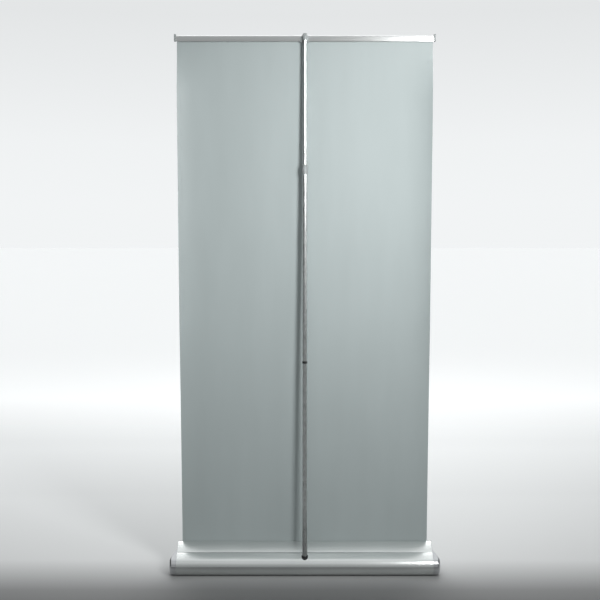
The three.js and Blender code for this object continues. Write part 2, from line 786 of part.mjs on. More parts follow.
const pole = new THREE.Group();
pole.position.set(0, FILM_Y - POLE_FOOT_DISTANCE, POLE_FOOT_Z);
pole.rotation.x = -POLE_LEAN;
group.add(pole);

const plugBody = TUBE_BORE - SEAT_GAP;
place(pole, 'pole_foot_plug', turned([
  [0, 0],
  [LOWER_TUBE_RADIUS - 1, 0],
  [LOWER_TUBE_RADIUS, 1],
  [LOWER_TUBE_RADIUS, FOOT_PLUG_FLANGE],
  [plugBody, FOOT_PLUG_FLANGE],
  [plugBody, FOOT_PLUG_FLANGE + FOOT_PLUG_DEPTH],
  [0, FOOT_PLUG_FLANGE + FOOT_PLUG_DEPTH],
]), rubber);

const lowerTubeStart = FOOT_PLUG_FLANGE + SEAT_GAP;
const lowerTubeEnd = JOINT_POSITION - JOINT_RING_HEIGHT / 2 - SEAT_GAP;
const middleTubeStart = JOINT_POSITION + JOINT_RING_HEIGHT / 2 + SEAT_GAP;
const middleTubeEnd = LOCK_POSITION + LOCK_SLEEVE_HEIGHT + TWIST_RING_HEIGHT - 6;
place(
  pole,
  'pole_lower_tube',
  pipe(LOWER_TUBE_RADIUS, TUBE_BORE, lowerTubeStart, lowerTubeEnd),
  satinAluminium,
);
place(
  pole,
  'pole_middle_tube',
  pipe(LOWER_TUBE_RADIUS, TUBE_BORE, middleTubeStart, middleTubeEnd),
  satinAluminium,
);

// black ring between the sections, on the spigot that joins them
const spigotRadius = TUBE_BORE - SEAT_GAP;
const ringHalf = JOINT_RING_HEIGHT / 2;
place(pole, 'pole_joint_ring', turned([
  [spigotRadius + SEAT_GAP, -ringHalf],
  [LOWER_TUBE_RADIUS + JOINT_RING_RISE, -ringHalf],
  [LOWER_TUBE_RADIUS + JOINT_RING_RISE, ringHalf],
  [spigotRadius + SEAT_GAP, ringHalf],
  [spigotRadius + SEAT_GAP, -ringHalf],
]), blackPlastic, 0, 0, JOINT_POSITION);
place(
  pole,
  'pole_joint_spigot',
  pipe(spigotRadius, spigotRadius - TUBE_WALL, -SPIGOT_DEPTH, SPIGOT_DEPTH),
  blackPlastic,
  0,
  0,
  JOINT_POSITION,
);

// twist lock: a sleeve fixed on the middle tube and a ribbed ring that turns on its neck
const sleeveBore = LOWER_TUBE_RADIUS + SEAT_GAP;
const neckRadius = sleeveBore + LOCK_NECK_WALL;
const sleeveRadius = sleeveBore + LOCK_SLEEVE_WALL;
const sleeveTop = LOCK_SLEEVE_HEIGHT + TWIST_RING_HEIGHT - 8;
place(pole, 'lock_sleeve', turned([
  [sleeveBore, 0],
  [sleeveRadius - 0.5, 0],
  [sleeveRadius, 0.6],
  [sleeveRadius, LOCK_SLEEVE_HEIGHT - SEAT_GAP],
  [neckRadius, LOCK_SLEEVE_HEIGHT - SEAT_GAP],
  [neckRadius, sleeveTop],
  [sleeveBore, sleeveTop],
  [sleeveBore, 0],
]), greyPlastic, 0, 0, LOCK_POSITION);

function makeTwistRing() {
  const bore = neckRadius + RUN_GAP;
  const outer = bore + TWIST_RING_WALL;
  const throat = UPPER_TUBE_RADIUS + RUN_GAP;
  const top = TWIST_RING_HEIGHT;
  const ring = turned([
    [bore, 0],
    [outer, 0],
    [outer, top - 1],
    [outer - 1, top],
    [throat, top],
    [throat, top - 4],
    [bore, top - 4],
    [bore, 0],
  ], 36);
  const grooves = Array.from({ length: TWIST_RIB_COUNT }, (unused, i) => {
    const angle = (2 * Math.PI * i) / TWIST_RIB_COUNT;
    return rod(TWIST_RIB, 3, top - 4, 8)
      .translate(outer * Math.cos(angle), outer * Math.sin(angle), 0);
  });
  return cut(ring, ...grooves);
}

place(
  pole,
  'twist_ring',
  makeTwistRing(),
  greyPlastic,
  0,
  0,
  LOCK_POSITION + LOCK_SLEEVE_HEIGHT,
);

// ---------------------------------------------------------------- upper tube and hook

const alongPole = (height) => (height - POLE_FOOT_Z) / Math.cos(POLE_LEAN);
const upperTubeStart = middleTubeEnd - UPPER_TUBE_OVERLAP;
const upperTubeEnd = alongPole(RAIL_BOTTOM + RAIL_HEIGHT - 3);
place(
  pole,
  'pole_upper_tube',
  pipe(UPPER_TUBE_RADIUS, UPPER_TUBE_RADIUS - TUBE_WALL, upperTubeStart, upperTubeEnd),
  satinAluminium,
);

const bushBody = UPPER_TUBE_RADIUS - TUBE_WALL - SEAT_GAP;
const bushRadius = TUBE_BORE - SEAT_GAP;
place(pole, 'upper_tube_bush', turned([
  [0, -8],
  [bushRadius - 0.8, -8],
  [bushRadius, -7],
  [bushRadius, -SEAT_GAP],
  [bushBody, -SEAT_GAP],
  [bushBody, 20],
  [0, 20],
]), blackPlastic, 0, 0, upperTubeStart);

// rail section: bead at the top of the rear half, socket at the top of the front jaw
const rail = sectionFrame(RAIL_BOTTOM);
const socketInner = BEAD_RADIUS + RUN_GAP;
const socketRadius = socketInner + BEAD_SOCKET_WALL;
const bead = new THREE.Vector2(BEAD_DISTANCE, RAIL_HEIGHT - socketRadius);

// the hook: a plate behind the rail, a boss around the tube and a head that reaches over the rail
function makeHook() {
  const plateFront = RAIL_HALF_DEPTH + SEAT_GAP;
  const corner = 5;
  const side = HOOK_WIDTH / 2;
  const plate = new THREE.ExtrudeGeometry(
    roundedRectangle(-side, side, -HOOK_DROP, HOOK_SHOULDER, corner),
    { depth: HOOK_THICKNESS, bevelEnabled: false, curveSegments: 6 },
  ).rotateY(Math.PI / 2).translate(plateFront, 0, 0);
  const bossRadius = UPPER_TUBE_RADIUS + SEAT_GAP + HOOK_WALL;
  const bossStart = alongPole(RAIL_BOTTOM + HOOK_BOSS_START);
  const bossShoulder = alongPole(RAIL_BOTTOM + HOOK_SHOULDER);
  const bossEnd = alongPole(RAIL_BOTTOM + HOOK_TOP - 4);
  const onRail = (geometry) => onPoleAxis(geometry).translate(0, -RAIL_BOTTOM, 0);
  const boss = onRail(turned([
    [0, bossStart],
    [bossRadius - 0.8, bossStart],
    [bossRadius, bossStart + 0.8],
    [bossRadius, bossShoulder],
    [HOOK_HEAD_WIDTH / 2, bossEnd],
    [0, bossEnd],
  ]));
  const headFront = bead.x - socketRadius * 0.4;
  const tubeDistance = POLE_FOOT_DISTANCE - bossShoulder * Math.sin(POLE_LEAN);
  const headRear = tubeDistance + UPPER_TUBE_RADIUS;
  const head = roundedRectangle(headFront, headRear, bead.y, HOOK_TOP, 4);
  const solid = join(plate, boss, prism(head.getPoints(6), HOOK_HEAD_WIDTH));
  const railRoom = rod(socketRadius + SEAT_GAP, -HOOK_WIDTH, HOOK_WIDTH).translate(bead.x, bead.y, 0);
  const frontRoom = block(40, 60, 2 * HOOK_WIDTH)
    .translate(plateFront - 20, RAIL_FACE_HEIGHT + SEAT_GAP - 30, 0);
  const tubeBore = onRail(
    rod(UPPER_TUBE_RADIUS + SEAT_GAP, upperTubeEnd - 200, upperTubeEnd + SEAT_GAP),
  );
  return cut(solid, railRoom, frontRoom, tubeBore);
}

place(rail, 'top_hook', makeHook(), greyPlastic);

// ---------------------------------------------------------------- rail

const jawFace = FILM_HALF + SEAT_GAP;

function makeRailRear() {
  const back = RAIL_HALF_DEPTH;
  const neck = RAIL_WALL;
  const outline = [
    new THREE.Vector2(jawFace, 0),
    new THREE.Vector2(back - 0.8, 0),
    new THREE.Vector2(back, 0.8),
    new THREE.Vector2(back, RAIL_FACE_HEIGHT - 0.5),
    new THREE.Vector2(back - 0.5, RAIL_FACE_HEIGHT),
    new THREE.Vector2(back - RAIL_WALL, RAIL_FACE_HEIGHT),
    new THREE.Vector2(back - RAIL_WALL, bead.y - socketRadius - 0.2),
    new THREE.Vector2(bead.x + neck, bead.y - 0.4),
    new THREE.Vector2(bead.x, bead.y - neck),
    new THREE.Vector2(back - RAIL_WALL, bead.y - socketRadius - 1.6),
    new THREE.Vector2(back - RAIL_WALL, LIP_HEIGHT),
    new THREE.Vector2(jawFace, LIP_HEIGHT),
  ];
  const roll = rod(BEAD_RADIUS, -RAIL_LENGTH / 2, RAIL_LENGTH / 2, 20).translate(bead.x, bead.y, 0);
  return join(prism(outline, RAIL_LENGTH), roll);
}

function makeRailJaw() {
  const front = -RAIL_HALF_DEPTH;
  const length = RAIL_LENGTH - 2 * SEAT_GAP;
  const from = 22;
  const to = 235;
  const curl = [
    ...arcPoints(bead, socketRadius, from, to, 14),
    ...arcPoints(bead, socketInner, to, from, 14),
  ];
  const lipBack = -FILM_HALF - GRIP_THICKNESS - 2 * SEAT_GAP;
  const wall = [
    new THREE.Vector2(front, 0.8),
    new THREE.Vector2(front + 0.8, 0),
    new THREE.Vector2(lipBack, 0),
    new THREE.Vector2(lipBack, LIP_HEIGHT),
    new THREE.Vector2(front + RAIL_WALL, LIP_HEIGHT),
    new THREE.Vector2(front + RAIL_WALL, bead.y - socketRadius),
    new THREE.Vector2(bead.x - socketInner - 0.5, bead.y - socketInner * 0.6),
    new THREE.Vector2(bead.x - socketInner - 0.5, bead.y + 0.5),
    new THREE.Vector2(front, bead.y - socketRadius * 0.5),
  ];
  return join(prism(curl, length), prism(wall, length));
}

place(rail, 'rail_rear', makeRailRear(), railAluminium);
place(rail, 'rail_jaw', makeRailJaw(), railAluminium);
place(
  rail,
  'rail_grip_strip',
  block(GRIP_THICKNESS, LIP_HEIGHT - 0.4, FILM_WIDTH),
  rubber,
  -(FILM_HALF + SEAT_GAP + GRIP_THICKNESS / 2),
  LIP_HEIGHT / 2,
  0,
);

// rail caps: a rounded plate with a spigot in the rear half's channel, and one screw each
const channelFront = jawFace + 1;
const channelBack = RAIL_HALF_DEPTH - RAIL_WALL - SEAT_GAP;
const screwPlace = new THREE.Vector2((channelFront + channelBack) / 2, LIP_HEIGHT + 5);

function makeRailCap() {
  const high = RAIL_HEIGHT + RAIL_CAP_RISE;
  const half = RAIL_HALF_DEPTH + RAIL_CAP_OVERHANG;
  const shape = roundedRectangle(-half, half, 0, high, 5);
  const bevel = 1.2;
  const plate = new THREE.ExtrudeGeometry(shape, {
    depth: RAIL_CAP_WIDTH - 2 * bevel,
    bevelThickness: bevel,
    bevelSize: bevel,
    bevelOffset: -bevel,
    bevelSegments: 2,
    curveSegments: 6,
  }).translate(0, 0, bevel);
  const flatFoot = block(4 * half, 4 * high, RAIL_CAP_WIDTH).translate(0, 0, -RAIL_CAP_WIDTH / 2);
  const spigot = block(channelBack - channelFront, 9, RAIL_CAP_SPIGOT + 2)
    .translate(screwPlace.x, screwPlace.y, 1 - RAIL_CAP_SPIGOT / 2);
  const bore = rod(RAIL_SCREW_RADIUS + SEAT_GAP, -20, 20, SMALL_SIDES)
    .translate(screwPlace.x, screwPlace.y, 0);
  return cut(join(cut(plate, flatFoot), spigot), bore);
}

function makeRailScrew() {
  return turned([
    [0, -RAIL_CAP_WIDTH - RAIL_CAP_SPIGOT + 2],
    [RAIL_SCREW_RADIUS, -RAIL_CAP_WIDTH - RAIL_CAP_SPIGOT + 2],
    [RAIL_SCREW_RADIUS, 0],
    [2.4, 0],
    [2.4, 0.6],
    [1.6, 1.2],
    [0, 1.2],
  ], SMALL_SIDES);
}

for (const [side, sign] of [['left', 1], ['right', -1]]) {
  const flip = (geometry) => (sign < 0 ? closed(geometry.scale(1, 1, -1)) : geometry);
  const seat = sign * (RAIL_LENGTH / 2 + SEAT_GAP);
  place(rail, `rail_cap_${side}`, flip(makeRailCap()), greyPlastic, 0, 0, seat);
  place(
    rail,
    `rail_cap_screw_${side}`,
    flip(makeRailScrew()),
    steel,
    screwPlace.x,
    screwPlace.y,
    seat + sign * (RAIL_CAP_WIDTH + SEAT_GAP),
  );
}

export default group;
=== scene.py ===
# %% [markdown]
# # A roll-up banner stand
# The stand has a heavy aluminium base, a film that rises out of it, a pole in three sections
# behind the film, and a clamping rail that hangs on the pole's hook. A maker's model fixes every
# size and every joint. This lesson dresses that model: each cell makes one piece or one finish,
# says what it is on the real stand, and prints what it made.

# %% Load the fixed model
import json
import math

import bmesh
import bpy
from mathutils import Matrix, Vector


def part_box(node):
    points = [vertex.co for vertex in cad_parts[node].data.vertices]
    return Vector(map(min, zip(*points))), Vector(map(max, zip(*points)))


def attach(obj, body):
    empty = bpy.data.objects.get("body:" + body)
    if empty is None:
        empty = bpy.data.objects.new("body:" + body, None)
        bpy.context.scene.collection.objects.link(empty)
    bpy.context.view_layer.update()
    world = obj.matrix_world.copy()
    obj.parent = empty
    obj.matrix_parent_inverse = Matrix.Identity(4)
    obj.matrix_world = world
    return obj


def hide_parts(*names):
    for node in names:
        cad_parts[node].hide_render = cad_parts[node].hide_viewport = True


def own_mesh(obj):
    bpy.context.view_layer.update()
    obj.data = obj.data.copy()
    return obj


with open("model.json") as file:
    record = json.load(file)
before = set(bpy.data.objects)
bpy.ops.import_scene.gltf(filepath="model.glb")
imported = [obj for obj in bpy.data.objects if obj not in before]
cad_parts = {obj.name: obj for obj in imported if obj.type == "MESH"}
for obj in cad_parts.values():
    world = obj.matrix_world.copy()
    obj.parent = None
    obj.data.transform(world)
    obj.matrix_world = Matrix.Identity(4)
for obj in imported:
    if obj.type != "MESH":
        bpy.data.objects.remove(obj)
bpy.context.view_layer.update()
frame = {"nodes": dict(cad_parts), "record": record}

MM = 0.001

# %% [markdown]
# ## Where things are
# The film's plane is the natural datum of this stand: the base grows behind and in front of it,
# the rail clamps it, and the pole leans towards it. The pole's axis comes from the joint that
# slides along it, so a change in the model carries through to everything that stands on the pole.

# %% Datums from the model
film_low, film_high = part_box("banner_film")
FILM_Y = (film_low.y + film_high.y) / 2
HALF_FILM = film_high.x
HALF_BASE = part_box("rear_shell")[1].x
RAIL_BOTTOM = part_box("rail_rear")[0].z
HALF_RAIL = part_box("rail_rear")[1].x
SEAT_GAP = 0.3 * MM

joints = {joint["name"]: joint for joint in frame["record"]["behaviour"]["joints"]}
POLE_UP = Vector(joints["height_adjust"]["axis"]).normalized()
LOCK_CENTRE = 1616 * MM  # along the pole, from its foot
pole_foot = Vector(joints["twist_lock_turn"]["pos_m"]) - POLE_UP * LOCK_CENTRE
print(f"film plane y {FILM_Y:.4f}, pole foot {tuple(round(v, 4) for v in pole_foot)}")

# %% [markdown]
# ## Camera
# The stand is looked at from behind, from a little above its middle. A normal lens four metres
# away keeps the film's sides almost parallel, as a photographer in a studio would choose.

# %% Camera
CAMERA_DISTANCE = 3.985
CAMERA_HEIGHT = 1.495
CAMERA_SIDE = -0.019
CAMERA_PITCH = 5.5
camera_data = bpy.data.cameras.new("studio_camera")
camera_data.sensor_width = 36
camera_data.lens = 60
camera = bpy.data.objects.new("studio_camera", camera_data)
camera.location = (CAMERA_SIDE, FILM_Y - CAMERA_DISTANCE, CAMERA_HEIGHT)
camera.rotation_euler = (math.radians(90 - CAMERA_PITCH), 0, 0)
bpy.context.scene.collection.objects.link(camera)
bpy.context.scene.camera = camera
bpy.context.scene.view_settings.view_transform = "Standard"
print(f"camera {CAMERA_HEIGHT} m up, {CAMERA_DISTANCE} m from the film, {camera_data.lens:g} mm")

# %% [markdown]
# ## Finishes
# A material is a small network of nodes. Every finish here starts from one helper that makes the
# shader, sets what is the same all over on the shader's own sockets, and leaves what varies to
# textures. The textures read object coordinates, which are metres in the stand's own frame, so a
# brushing line is as fine on the short rail as on the long base.

# %% Helper: a shader with its fixed numbers
MATERIALS = {}


def start_material(slot, colour, roughness, metallic=0.0, **fixed):
    material = bpy.data.materials.new(slot)
    material.use_nodes = True
    shader = material.node_tree.nodes["Principled BSDF"]
    shader.inputs["Base Color"].default_value = (*colour, 1)
    shader.inputs["Roughness"].default_value = roughness
    shader.inputs["Metallic"].default_value = metallic
    for name, value in fixed.items():
        shader.inputs[name.replace("_", " ")].default_value = value
    MATERIALS[slot] = material
    print(f"finish {slot}: roughness {roughness}, metallic {metallic}")
    return material, shader


def wire(material, output, socket):
    material.node_tree.links.new(output, socket)


def add_node(material, kind, **settings):
    node = material.node_tree.nodes.new(kind)
    for name, value in settings.items():
        setattr(node, name, value)
    return node


def stretched_noise(material, scale, stretch, detail=3.0):
    """Noise in object space, longer along the axes whose stretch is small."""
    coordinates = add_node(material, "ShaderNodeTexCoord")
    mapping = add_node(material, "ShaderNodeMapping")
    mapping.inputs["Scale"].default_value = stretch
    noise = add_node(material, "ShaderNodeTexNoise")
    noise.inputs["Scale"].default_value = scale
    noise.inputs["Detail"].default_value = detail
    wire(material, coordinates.outputs["Object"], mapping.inputs["Vector"])
    wire(material, mapping.outputs["Vector"], noise.inputs["Vector"])
    return noise.outputs["Fac"]


TEXTURE_LOW, TEXTURE_HIGH = 0.3, 0.7  # nearly all of a noise lies between these two


def spread(material, value, low, high):
    """A texture's middle values spread over a useful range."""
    node = add_node(material, "ShaderNodeMapRange")
    for name, number in (("From Min", TEXTURE_LOW), ("From Max", TEXTURE_HIGH),
                         ("To Min", low), ("To Max", high)):
        node.inputs[name].default_value = number
    wire(material, value, node.inputs["Value"])
    return node.outputs["Result"]


def tint(material, value, dark, light):
    """Two colours mixed by a texture."""
    ramp = add_node(material, "ShaderNodeValToRGB")
    stops = ((TEXTURE_LOW, dark), (TEXTURE_HIGH, light))
    for element, (position, colour) in zip(ramp.color_ramp.elements, stops):
        element.position = position
        element.color = (*colour, 1)
    wire(material, value, ramp.inputs["Fac"])
    return ramp.outputs["Color"]


def bump(material, shader, value, height, strength=1.0):
    node = add_node(material, "ShaderNodeBump")
    node.inputs["Distance"].default_value = height
    node.inputs["Strength"].default_value = strength
    wire(material, value, node.inputs["Height"])
    wire(material, node.outputs["Normal"], shader.inputs["Normal"])


def weather(finish, colour, shades, slow, gloss, fine, height, strength):
    """A slow noise shades the colour; a fine one varies the roughness and lifts the surface."""
    material, shader = finish
    roughness = shader.inputs["Roughness"].default_value
    darker, lighter = ([min(1, channel * shade) for channel in colour] for shade in shades)
    wire(material, tint(material, slow, darker, lighter), shader.inputs["Base Color"])
    dull = spread(material, fine, roughness + gloss[0], roughness + gloss[1])
    wire(material, dull, shader.inputs["Roughness"])
    bump(material, shader, fine, height, strength)


# %% [markdown]
# Aluminium profiles are pressed through a die, which leaves faint lines along their length, and
# anodising turns the surface satin. Two noises do it: one stretched 250 times along the profile
# for the lines, and a slow one for the slight cloudiness of the anodised skin. The lines
# also spread a reflection across themselves and not along, which the shader calls anisotropic; its
# tangent is the direction of the lines, turned a quarter.

# %% Anodised and drawn aluminium
ALONG_X = (0.004, 1, 1)
ALONG_Z = (1, 1, 0.004)
EVEN = (1, 1, 1)


def aluminium(slot, colour, roughness, stretch, lines):
    finish = start_material(
        slot, colour, roughness, metallic=1.0, Anisotropic=0.7, Anisotropic_Rotation=0.25)
    material, shader = finish
    grain = add_node(material, "ShaderNodeCombineXYZ")
    grain.inputs["X"].default_value = 1 if stretch == ALONG_X else 0
    grain.inputs["Z"].default_value = 1 if stretch == ALONG_Z else 0
    wire(material, grain.outputs["Vector"], shader.inputs["Tangent"])
    weather(finish, colour, (0.95, 1.03), stretched_noise(material, 7, (0.4, 1, 1), detail=2),
            (-0.04, 0.06), stretched_noise(material, lines, stretch), 0.004 * MM, 0.3)


aluminium("satin_aluminium", (0.72, 0.745, 0.735), 0.18, ALONG_X, 900)
aluminium("pole_aluminium", (0.70, 0.72, 0.715), 0.27, ALONG_Z, 1200)
aluminium("rail_aluminium", (0.76, 0.775, 0.77), 0.3, ALONG_X, 1100)

# %% [markdown]
# The end caps are moulded plastic with a chrome skin. Chrome is a mirror, but never a perfect
# one: the moulding under it is slightly wavy, and handling leaves patches that are a touch duller.

# %% Chrome on a moulding
chrome, chrome_shader = start_material("chrome_cap", (0.60, 0.61, 0.62), 0.07, metallic=1.0)
smudges = stretched_noise(chrome, 22, EVEN, detail=4)
wire(chrome, spread(chrome, smudges, 0.05, 0.11), chrome_shader.inputs["Roughness"])
moulding_waves = stretched_noise(chrome, 45, EVEN, detail=0)
bump(chrome, chrome_shader, moulding_waves, 0.03 * MM, 0.4)

# %% [markdown]
# Moulded plastics take their look from the tool they were cast in: a fine spark-eroded grain that
# breaks up the highlight. One helper serves the grey hook and lock, the black collar and the
# rubber feet, with different grain and gloss.

# %% Plastics and rubber


def moulded(slot, colour, roughness, grain_scale, grain_height):
    finish = start_material(slot, colour, roughness)
    flow = stretched_noise(finish[0], 60, EVEN, detail=2)
    grain = stretched_noise(finish[0], grain_scale, EVEN, detail=2)
    weather(finish, colour, (0.9, 1.08), flow, (-0.06, 0.08), grain, grain_height, 0.6)


moulded("grey_plastic", (0.30, 0.325, 0.325), 0.42, 3200, 0.03 * MM)
moulded("black_plastic", (0.03, 0.031, 0.032), 0.2, 3600, 0.02 * MM)
moulded("rubber", (0.028, 0.028, 0.029), 0.72, 2200, 0.05 * MM)

# %% [markdown]
# Zinc-plated steel is a metal with small crystals that reflect a little differently from one to
# the next. A Voronoi texture makes such cells, and gives each its own roughness.

# %% Zinc-plated steel
steel, steel_shader = start_material("steel", (0.60, 0.615, 0.63), 0.34, metallic=1.0)
steel_coordinates = add_node(steel, "ShaderNodeTexCoord")
crystals = add_node(steel, "ShaderNodeTexVoronoi")
crystals.inputs["Scale"].default_value = 900
wire(steel, steel_coordinates.outputs["Object"], crystals.inputs["Vector"])
wire(steel, tint(steel, crystals.outputs["Distance"], (0.50, 0.51, 0.52), (0.66, 0.67, 0.68)),
     steel_shader.inputs["Base Color"])
wire(steel, spread(steel, crystals.outputs["Distance"], 0.26, 0.42),
     steel_shader.inputs["Roughness"])

# %% [markdown]
# The felt in the slot is short fibre, so its shader is fully rough with a little sheen, and its
# noise is much finer than a fibre is long.

# %% Felt
felt, felt_shader = start_material("felt", (0.035, 0.037, 0.037), 0.95, Sheen_Weight=0.4)
fibres = stretched_noise(felt, 2600, (1, 1, 0.3), detail=4)
wire(felt, tint(felt, fibres, (0.02, 0.021, 0.021), (0.06, 0.063, 0.063)),
     felt_shader.inputs["Base Color"])
bump(felt, felt_shader, fibres, 0.2 * MM, 0.8)

# %% [markdown]
# The film has a grey block-out coat behind and a plain pale print side in front. Both are a thin
# coating on polyester: smooth, a little glossy, with a very fine tooth and slow changes of shade
# where the coating is thicker.

# %% Film, both sides


def coated_film(slot, colour, roughness):
    finish = start_material(slot, colour, roughness, Specular_IOR_Level=0.35)
    coat = stretched_noise(finish[0], 5, (2.2, 1, 0.5), detail=2)
    tooth = stretched_noise(finish[0], 2400, EVEN, detail=2)
    weather(finish, colour, (0.975, 1.02), coat, (-0.05, 0.05), tooth, 0.01 * MM, 0.4)


coated_film("film", (0.375, 0.425, 0.425), 0.5)
coated_film("film_print_side", (0.78, 0.79, 0.78), 0.42)

# %% [markdown]
# ## Shapes: two helpers for nearly everything
# Most of the stand is either a profile pushed along the base or a profile turned around the pole.
# A real profile has no knife edges, so the first helper rounds every corner of a section before
# it becomes a mesh. Rounding the drawing is cleaner than bevelling the solid afterwards.

# %% Helper: rounded sections


GENTLE_TURN = math.radians(160)
LONGEST_CUT = 0.45  # of an edge, so that two rounded corners never meet


def rounded(outline, radius, steps=4):
    """A closed outline whose corners are arcs; gentle turns of a curve are left as they are."""
    result = []
    count = len(outline)
    for i, corner in enumerate(outline):
        corner = Vector(corner)
        before = Vector(outline[i - 1]) - corner
        after = Vector(outline[(i + 1) % count]) - corner
        opening = before.angle(after, math.pi)
        if opening > GENTLE_TURN:
            result.append(corner)
            continue
        reach = min(radius / math.tan(opening / 2),
                    before.length * LONGEST_CUT, after.length * LONGEST_CUT)
        start = corner + before.normalized() * reach
        end = corner + after.normalized() * reach
        for k in range(steps + 1):
            t = k / steps
            result.append(start * (1 - t) ** 2 + corner * 2 * t * (1 - t) + end * t * t)
    return result


def arc(centre, radius, start, end, steps):
    angles = [math.radians(start + (end - start) * i / steps) for i in range(steps + 1)]
    return [Vector((centre[0] + radius * math.cos(a), centre[1] + radius * math.sin(a)))
            for a in angles]


def offset_right(path, distance):
    """An open path moved to its right, with mitred corners."""
    moved = []
    for i, point in enumerate(path):
        into = (path[i] - path[i - 1]) if i else (path[1] - path[0])
        out = (path[i + 1] - path[i]) if i + 1 < len(path) else into
        normal_in = Vector((into.y, -into.x)).normalized()
        normal_out = Vector((out.y, -out.x)).normalized()
        mitre = (normal_in + normal_out).normalized()
        moved.append(point + mitre * (distance / mitre.dot(normal_in)))
    return moved


# %% Helper: from a section to a finished piece


def new_object(name, mesh):
    thing = bpy.data.objects.new(name, mesh)
    bpy.context.scene.collection.objects.link(thing)
    return thing


def mesh_from(name, vertices, faces):
    mesh = bpy.data.meshes.new(name)
    mesh.from_pydata([tuple(v) for v in vertices], [], faces)
    mesh.validate()
    return mesh


def push(name, outline, place, low, high):
    """A closed outline of (u, v) pushed from low to high; place(u, v, t) gives the point."""
    count = len(outline)
    vertices = [place(u, v, t) for t in (low, high) for u, v in outline]
    faces = [(i, (i + 1) % count, (i + 1) % count + count, i + count) for i in range(count)]
    faces += [tuple(reversed(range(count))), tuple(range(count, 2 * count))]
    return new_object(name, mesh_from(name, vertices, faces))


def along_base(distance, height, x):
    return Vector((x, FILM_Y - distance, height))


def revolve(name, profile, place, sides, closed):
    """A profile of (radius, along) carried around; place(angle, radius, along) gives a point."""
    rows = len(profile)
    vertices = [place(2 * math.pi * i / sides, *point) for i in range(sides) for point in profile]
    faces = []
    for i in range(sides):
        a, b = i * rows, (i + 1) % sides * rows
        faces += [(a + k, b + k, b + k + 1, a + k + 1) for k in range(rows - 1)]
        if closed:
            faces.append((a + rows - 1, b + rows - 1, b, a))
    return new_object(name, mesh_from(name, vertices, faces))


def around_pole(angle, radius, along):
    across = Vector((1, 0, 0))
    out = across * math.cos(angle) + POLE_UP.cross(across) * math.sin(angle)
    return pole_foot + POLE_UP * along + out * radius


def turn(name, profile, sides=96, closed=False):
    """A profile turned around the pole's axis."""
    return revolve(name, profile, around_pole, sides, closed)


def soft_ring(name, profile, radius):
    """A closed profile with rounded corners, turned around the pole's axis."""
    return turn(name, [tuple(p) for p in rounded(profile, radius)], closed=True)


def modify(thing, kind, **settings):
    modifier = thing.modifiers.new(kind.lower(), kind)
    for name, value in settings.items():
        setattr(modifier, name, value)


def apply_modifiers(thing):
    """The modifiers' result becomes the mesh itself."""
    evaluated = thing.evaluated_get(bpy.context.evaluated_depsgraph_get())
    result = bpy.data.meshes.new_from_object(evaluated)
    thing.modifiers.clear()
    thing.data = result


def clean(mesh):
    """Doubled points merged and every face turned outwards."""
    work = bmesh.new()
    work.from_mesh(mesh)
    bmesh.ops.remove_doubles(work, verts=work.verts, dist=1e-6)
    bmesh.ops.recalc_face_normals(work, faces=work.faces)
    work.to_mesh(mesh)
    work.free()


def finish_piece(thing, body, slot, *replaced, sharp=28):
    """Clean normals, smooth shading with true edges, a finish, a body and what it replaces."""
    mesh = thing.data
    clean(mesh)
    mesh.shade_smooth()
    mesh.set_sharp_from_angle(angle=math.radians(sharp))
    if not mesh.materials:
        mesh.materials.append(MATERIALS[slot])
    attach(thing, body)
    if replaced:
        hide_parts(*replaced)
    print(f"{thing.name}: {len(mesh.polygons)} faces on {body}")
    return thing


def cut_with(thing, *tools):
    """Exact boolean cuts; the tools are thrown away."""
    clean(thing.data)
    for tool in tools:
        clean(tool.data)
        modify(thing, "BOOLEAN", operation="DIFFERENCE", solver="EXACT", object=tool)
    apply_modifiers(thing)
    for tool in tools:
        bpy.data.objects.remove(tool)


# %% [markdown]
# ## The base
# The section of the base is a flat slope that falls away from the film, a large round at the
# back, a flat floor, a small round toe and one long sweep up the front. It is pressed in three
# pieces: the rear shell, a rear cover above the long seam, and the front shell. Each is a wall of
# even thickness, so each is drawn as a path and its parallel.

# %% The base's section
WALL = 2.2 * MM
ROUND_RADIUS = 39.3 * MM
SLOPE = math.radians(32.5)
SLOT_HALF = 2.5 * MM
LIP_DEPTH = 8 * MM
TOE_RADIUS = 9 * MM
FLOOR_SEAM = -70 * MM
rear_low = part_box("rear_shell")[0]
FLOOR = rear_low.z
SLOT_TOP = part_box("rear_top_cover")[1].z
REAR_REACH = FILM_Y - rear_low.y
FRONT_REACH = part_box("front_shell")[1].y - FILM_Y
round_centre = (REAR_REACH - ROUND_RADIUS, ROUND_RADIUS)
round_end = math.degrees(math.asin((FLOOR - ROUND_RADIUS) / ROUND_RADIUS))
rear_round = arc(round_centre, ROUND_RADIUS, 90 - math.degrees(SLOPE), round_end, 56)
SEAM = 52.5 * MM
seam = Vector((SEAM, rear_round[0].y + (rear_round[0].x - SEAM) * math.tan(SLOPE)))
slot_rear = Vector((SLOT_HALF, SLOT_TOP))
toe_round = arc((TOE_RADIUS - FRONT_REACH, FLOOR + TOE_RADIUS), TOE_RADIUS, 270, 180, 14)
toe_top = toe_round[-1]


def sweep_up(t):
    """The front's long curve, from the toe to the slot."""
    first = Vector((toe_top.x, SLOT_TOP * 0.5))
    second = Vector((toe_top.x * 0.5, SLOT_TOP * 0.81))
    last = Vector((-SLOT_HALF, SLOT_TOP))
    return (toe_top * (1 - t) ** 3 + first * 3 * t * (1 - t) ** 2
            + second * 3 * t * t * (1 - t) + last * t ** 3)


front_sweep = [sweep_up(i / 48) for i in range(1, 49)]
print(f"section: {REAR_REACH:.4f} behind the film, {FRONT_REACH:.4f} in front of it")

# %% [markdown]
# The three extrusions meet at open seams about a millimetre wide once their edges are rounded,
# which is what draws the thin dark line along the real base.

# %% The base's three extrusions
EDGE = 0.7 * MM


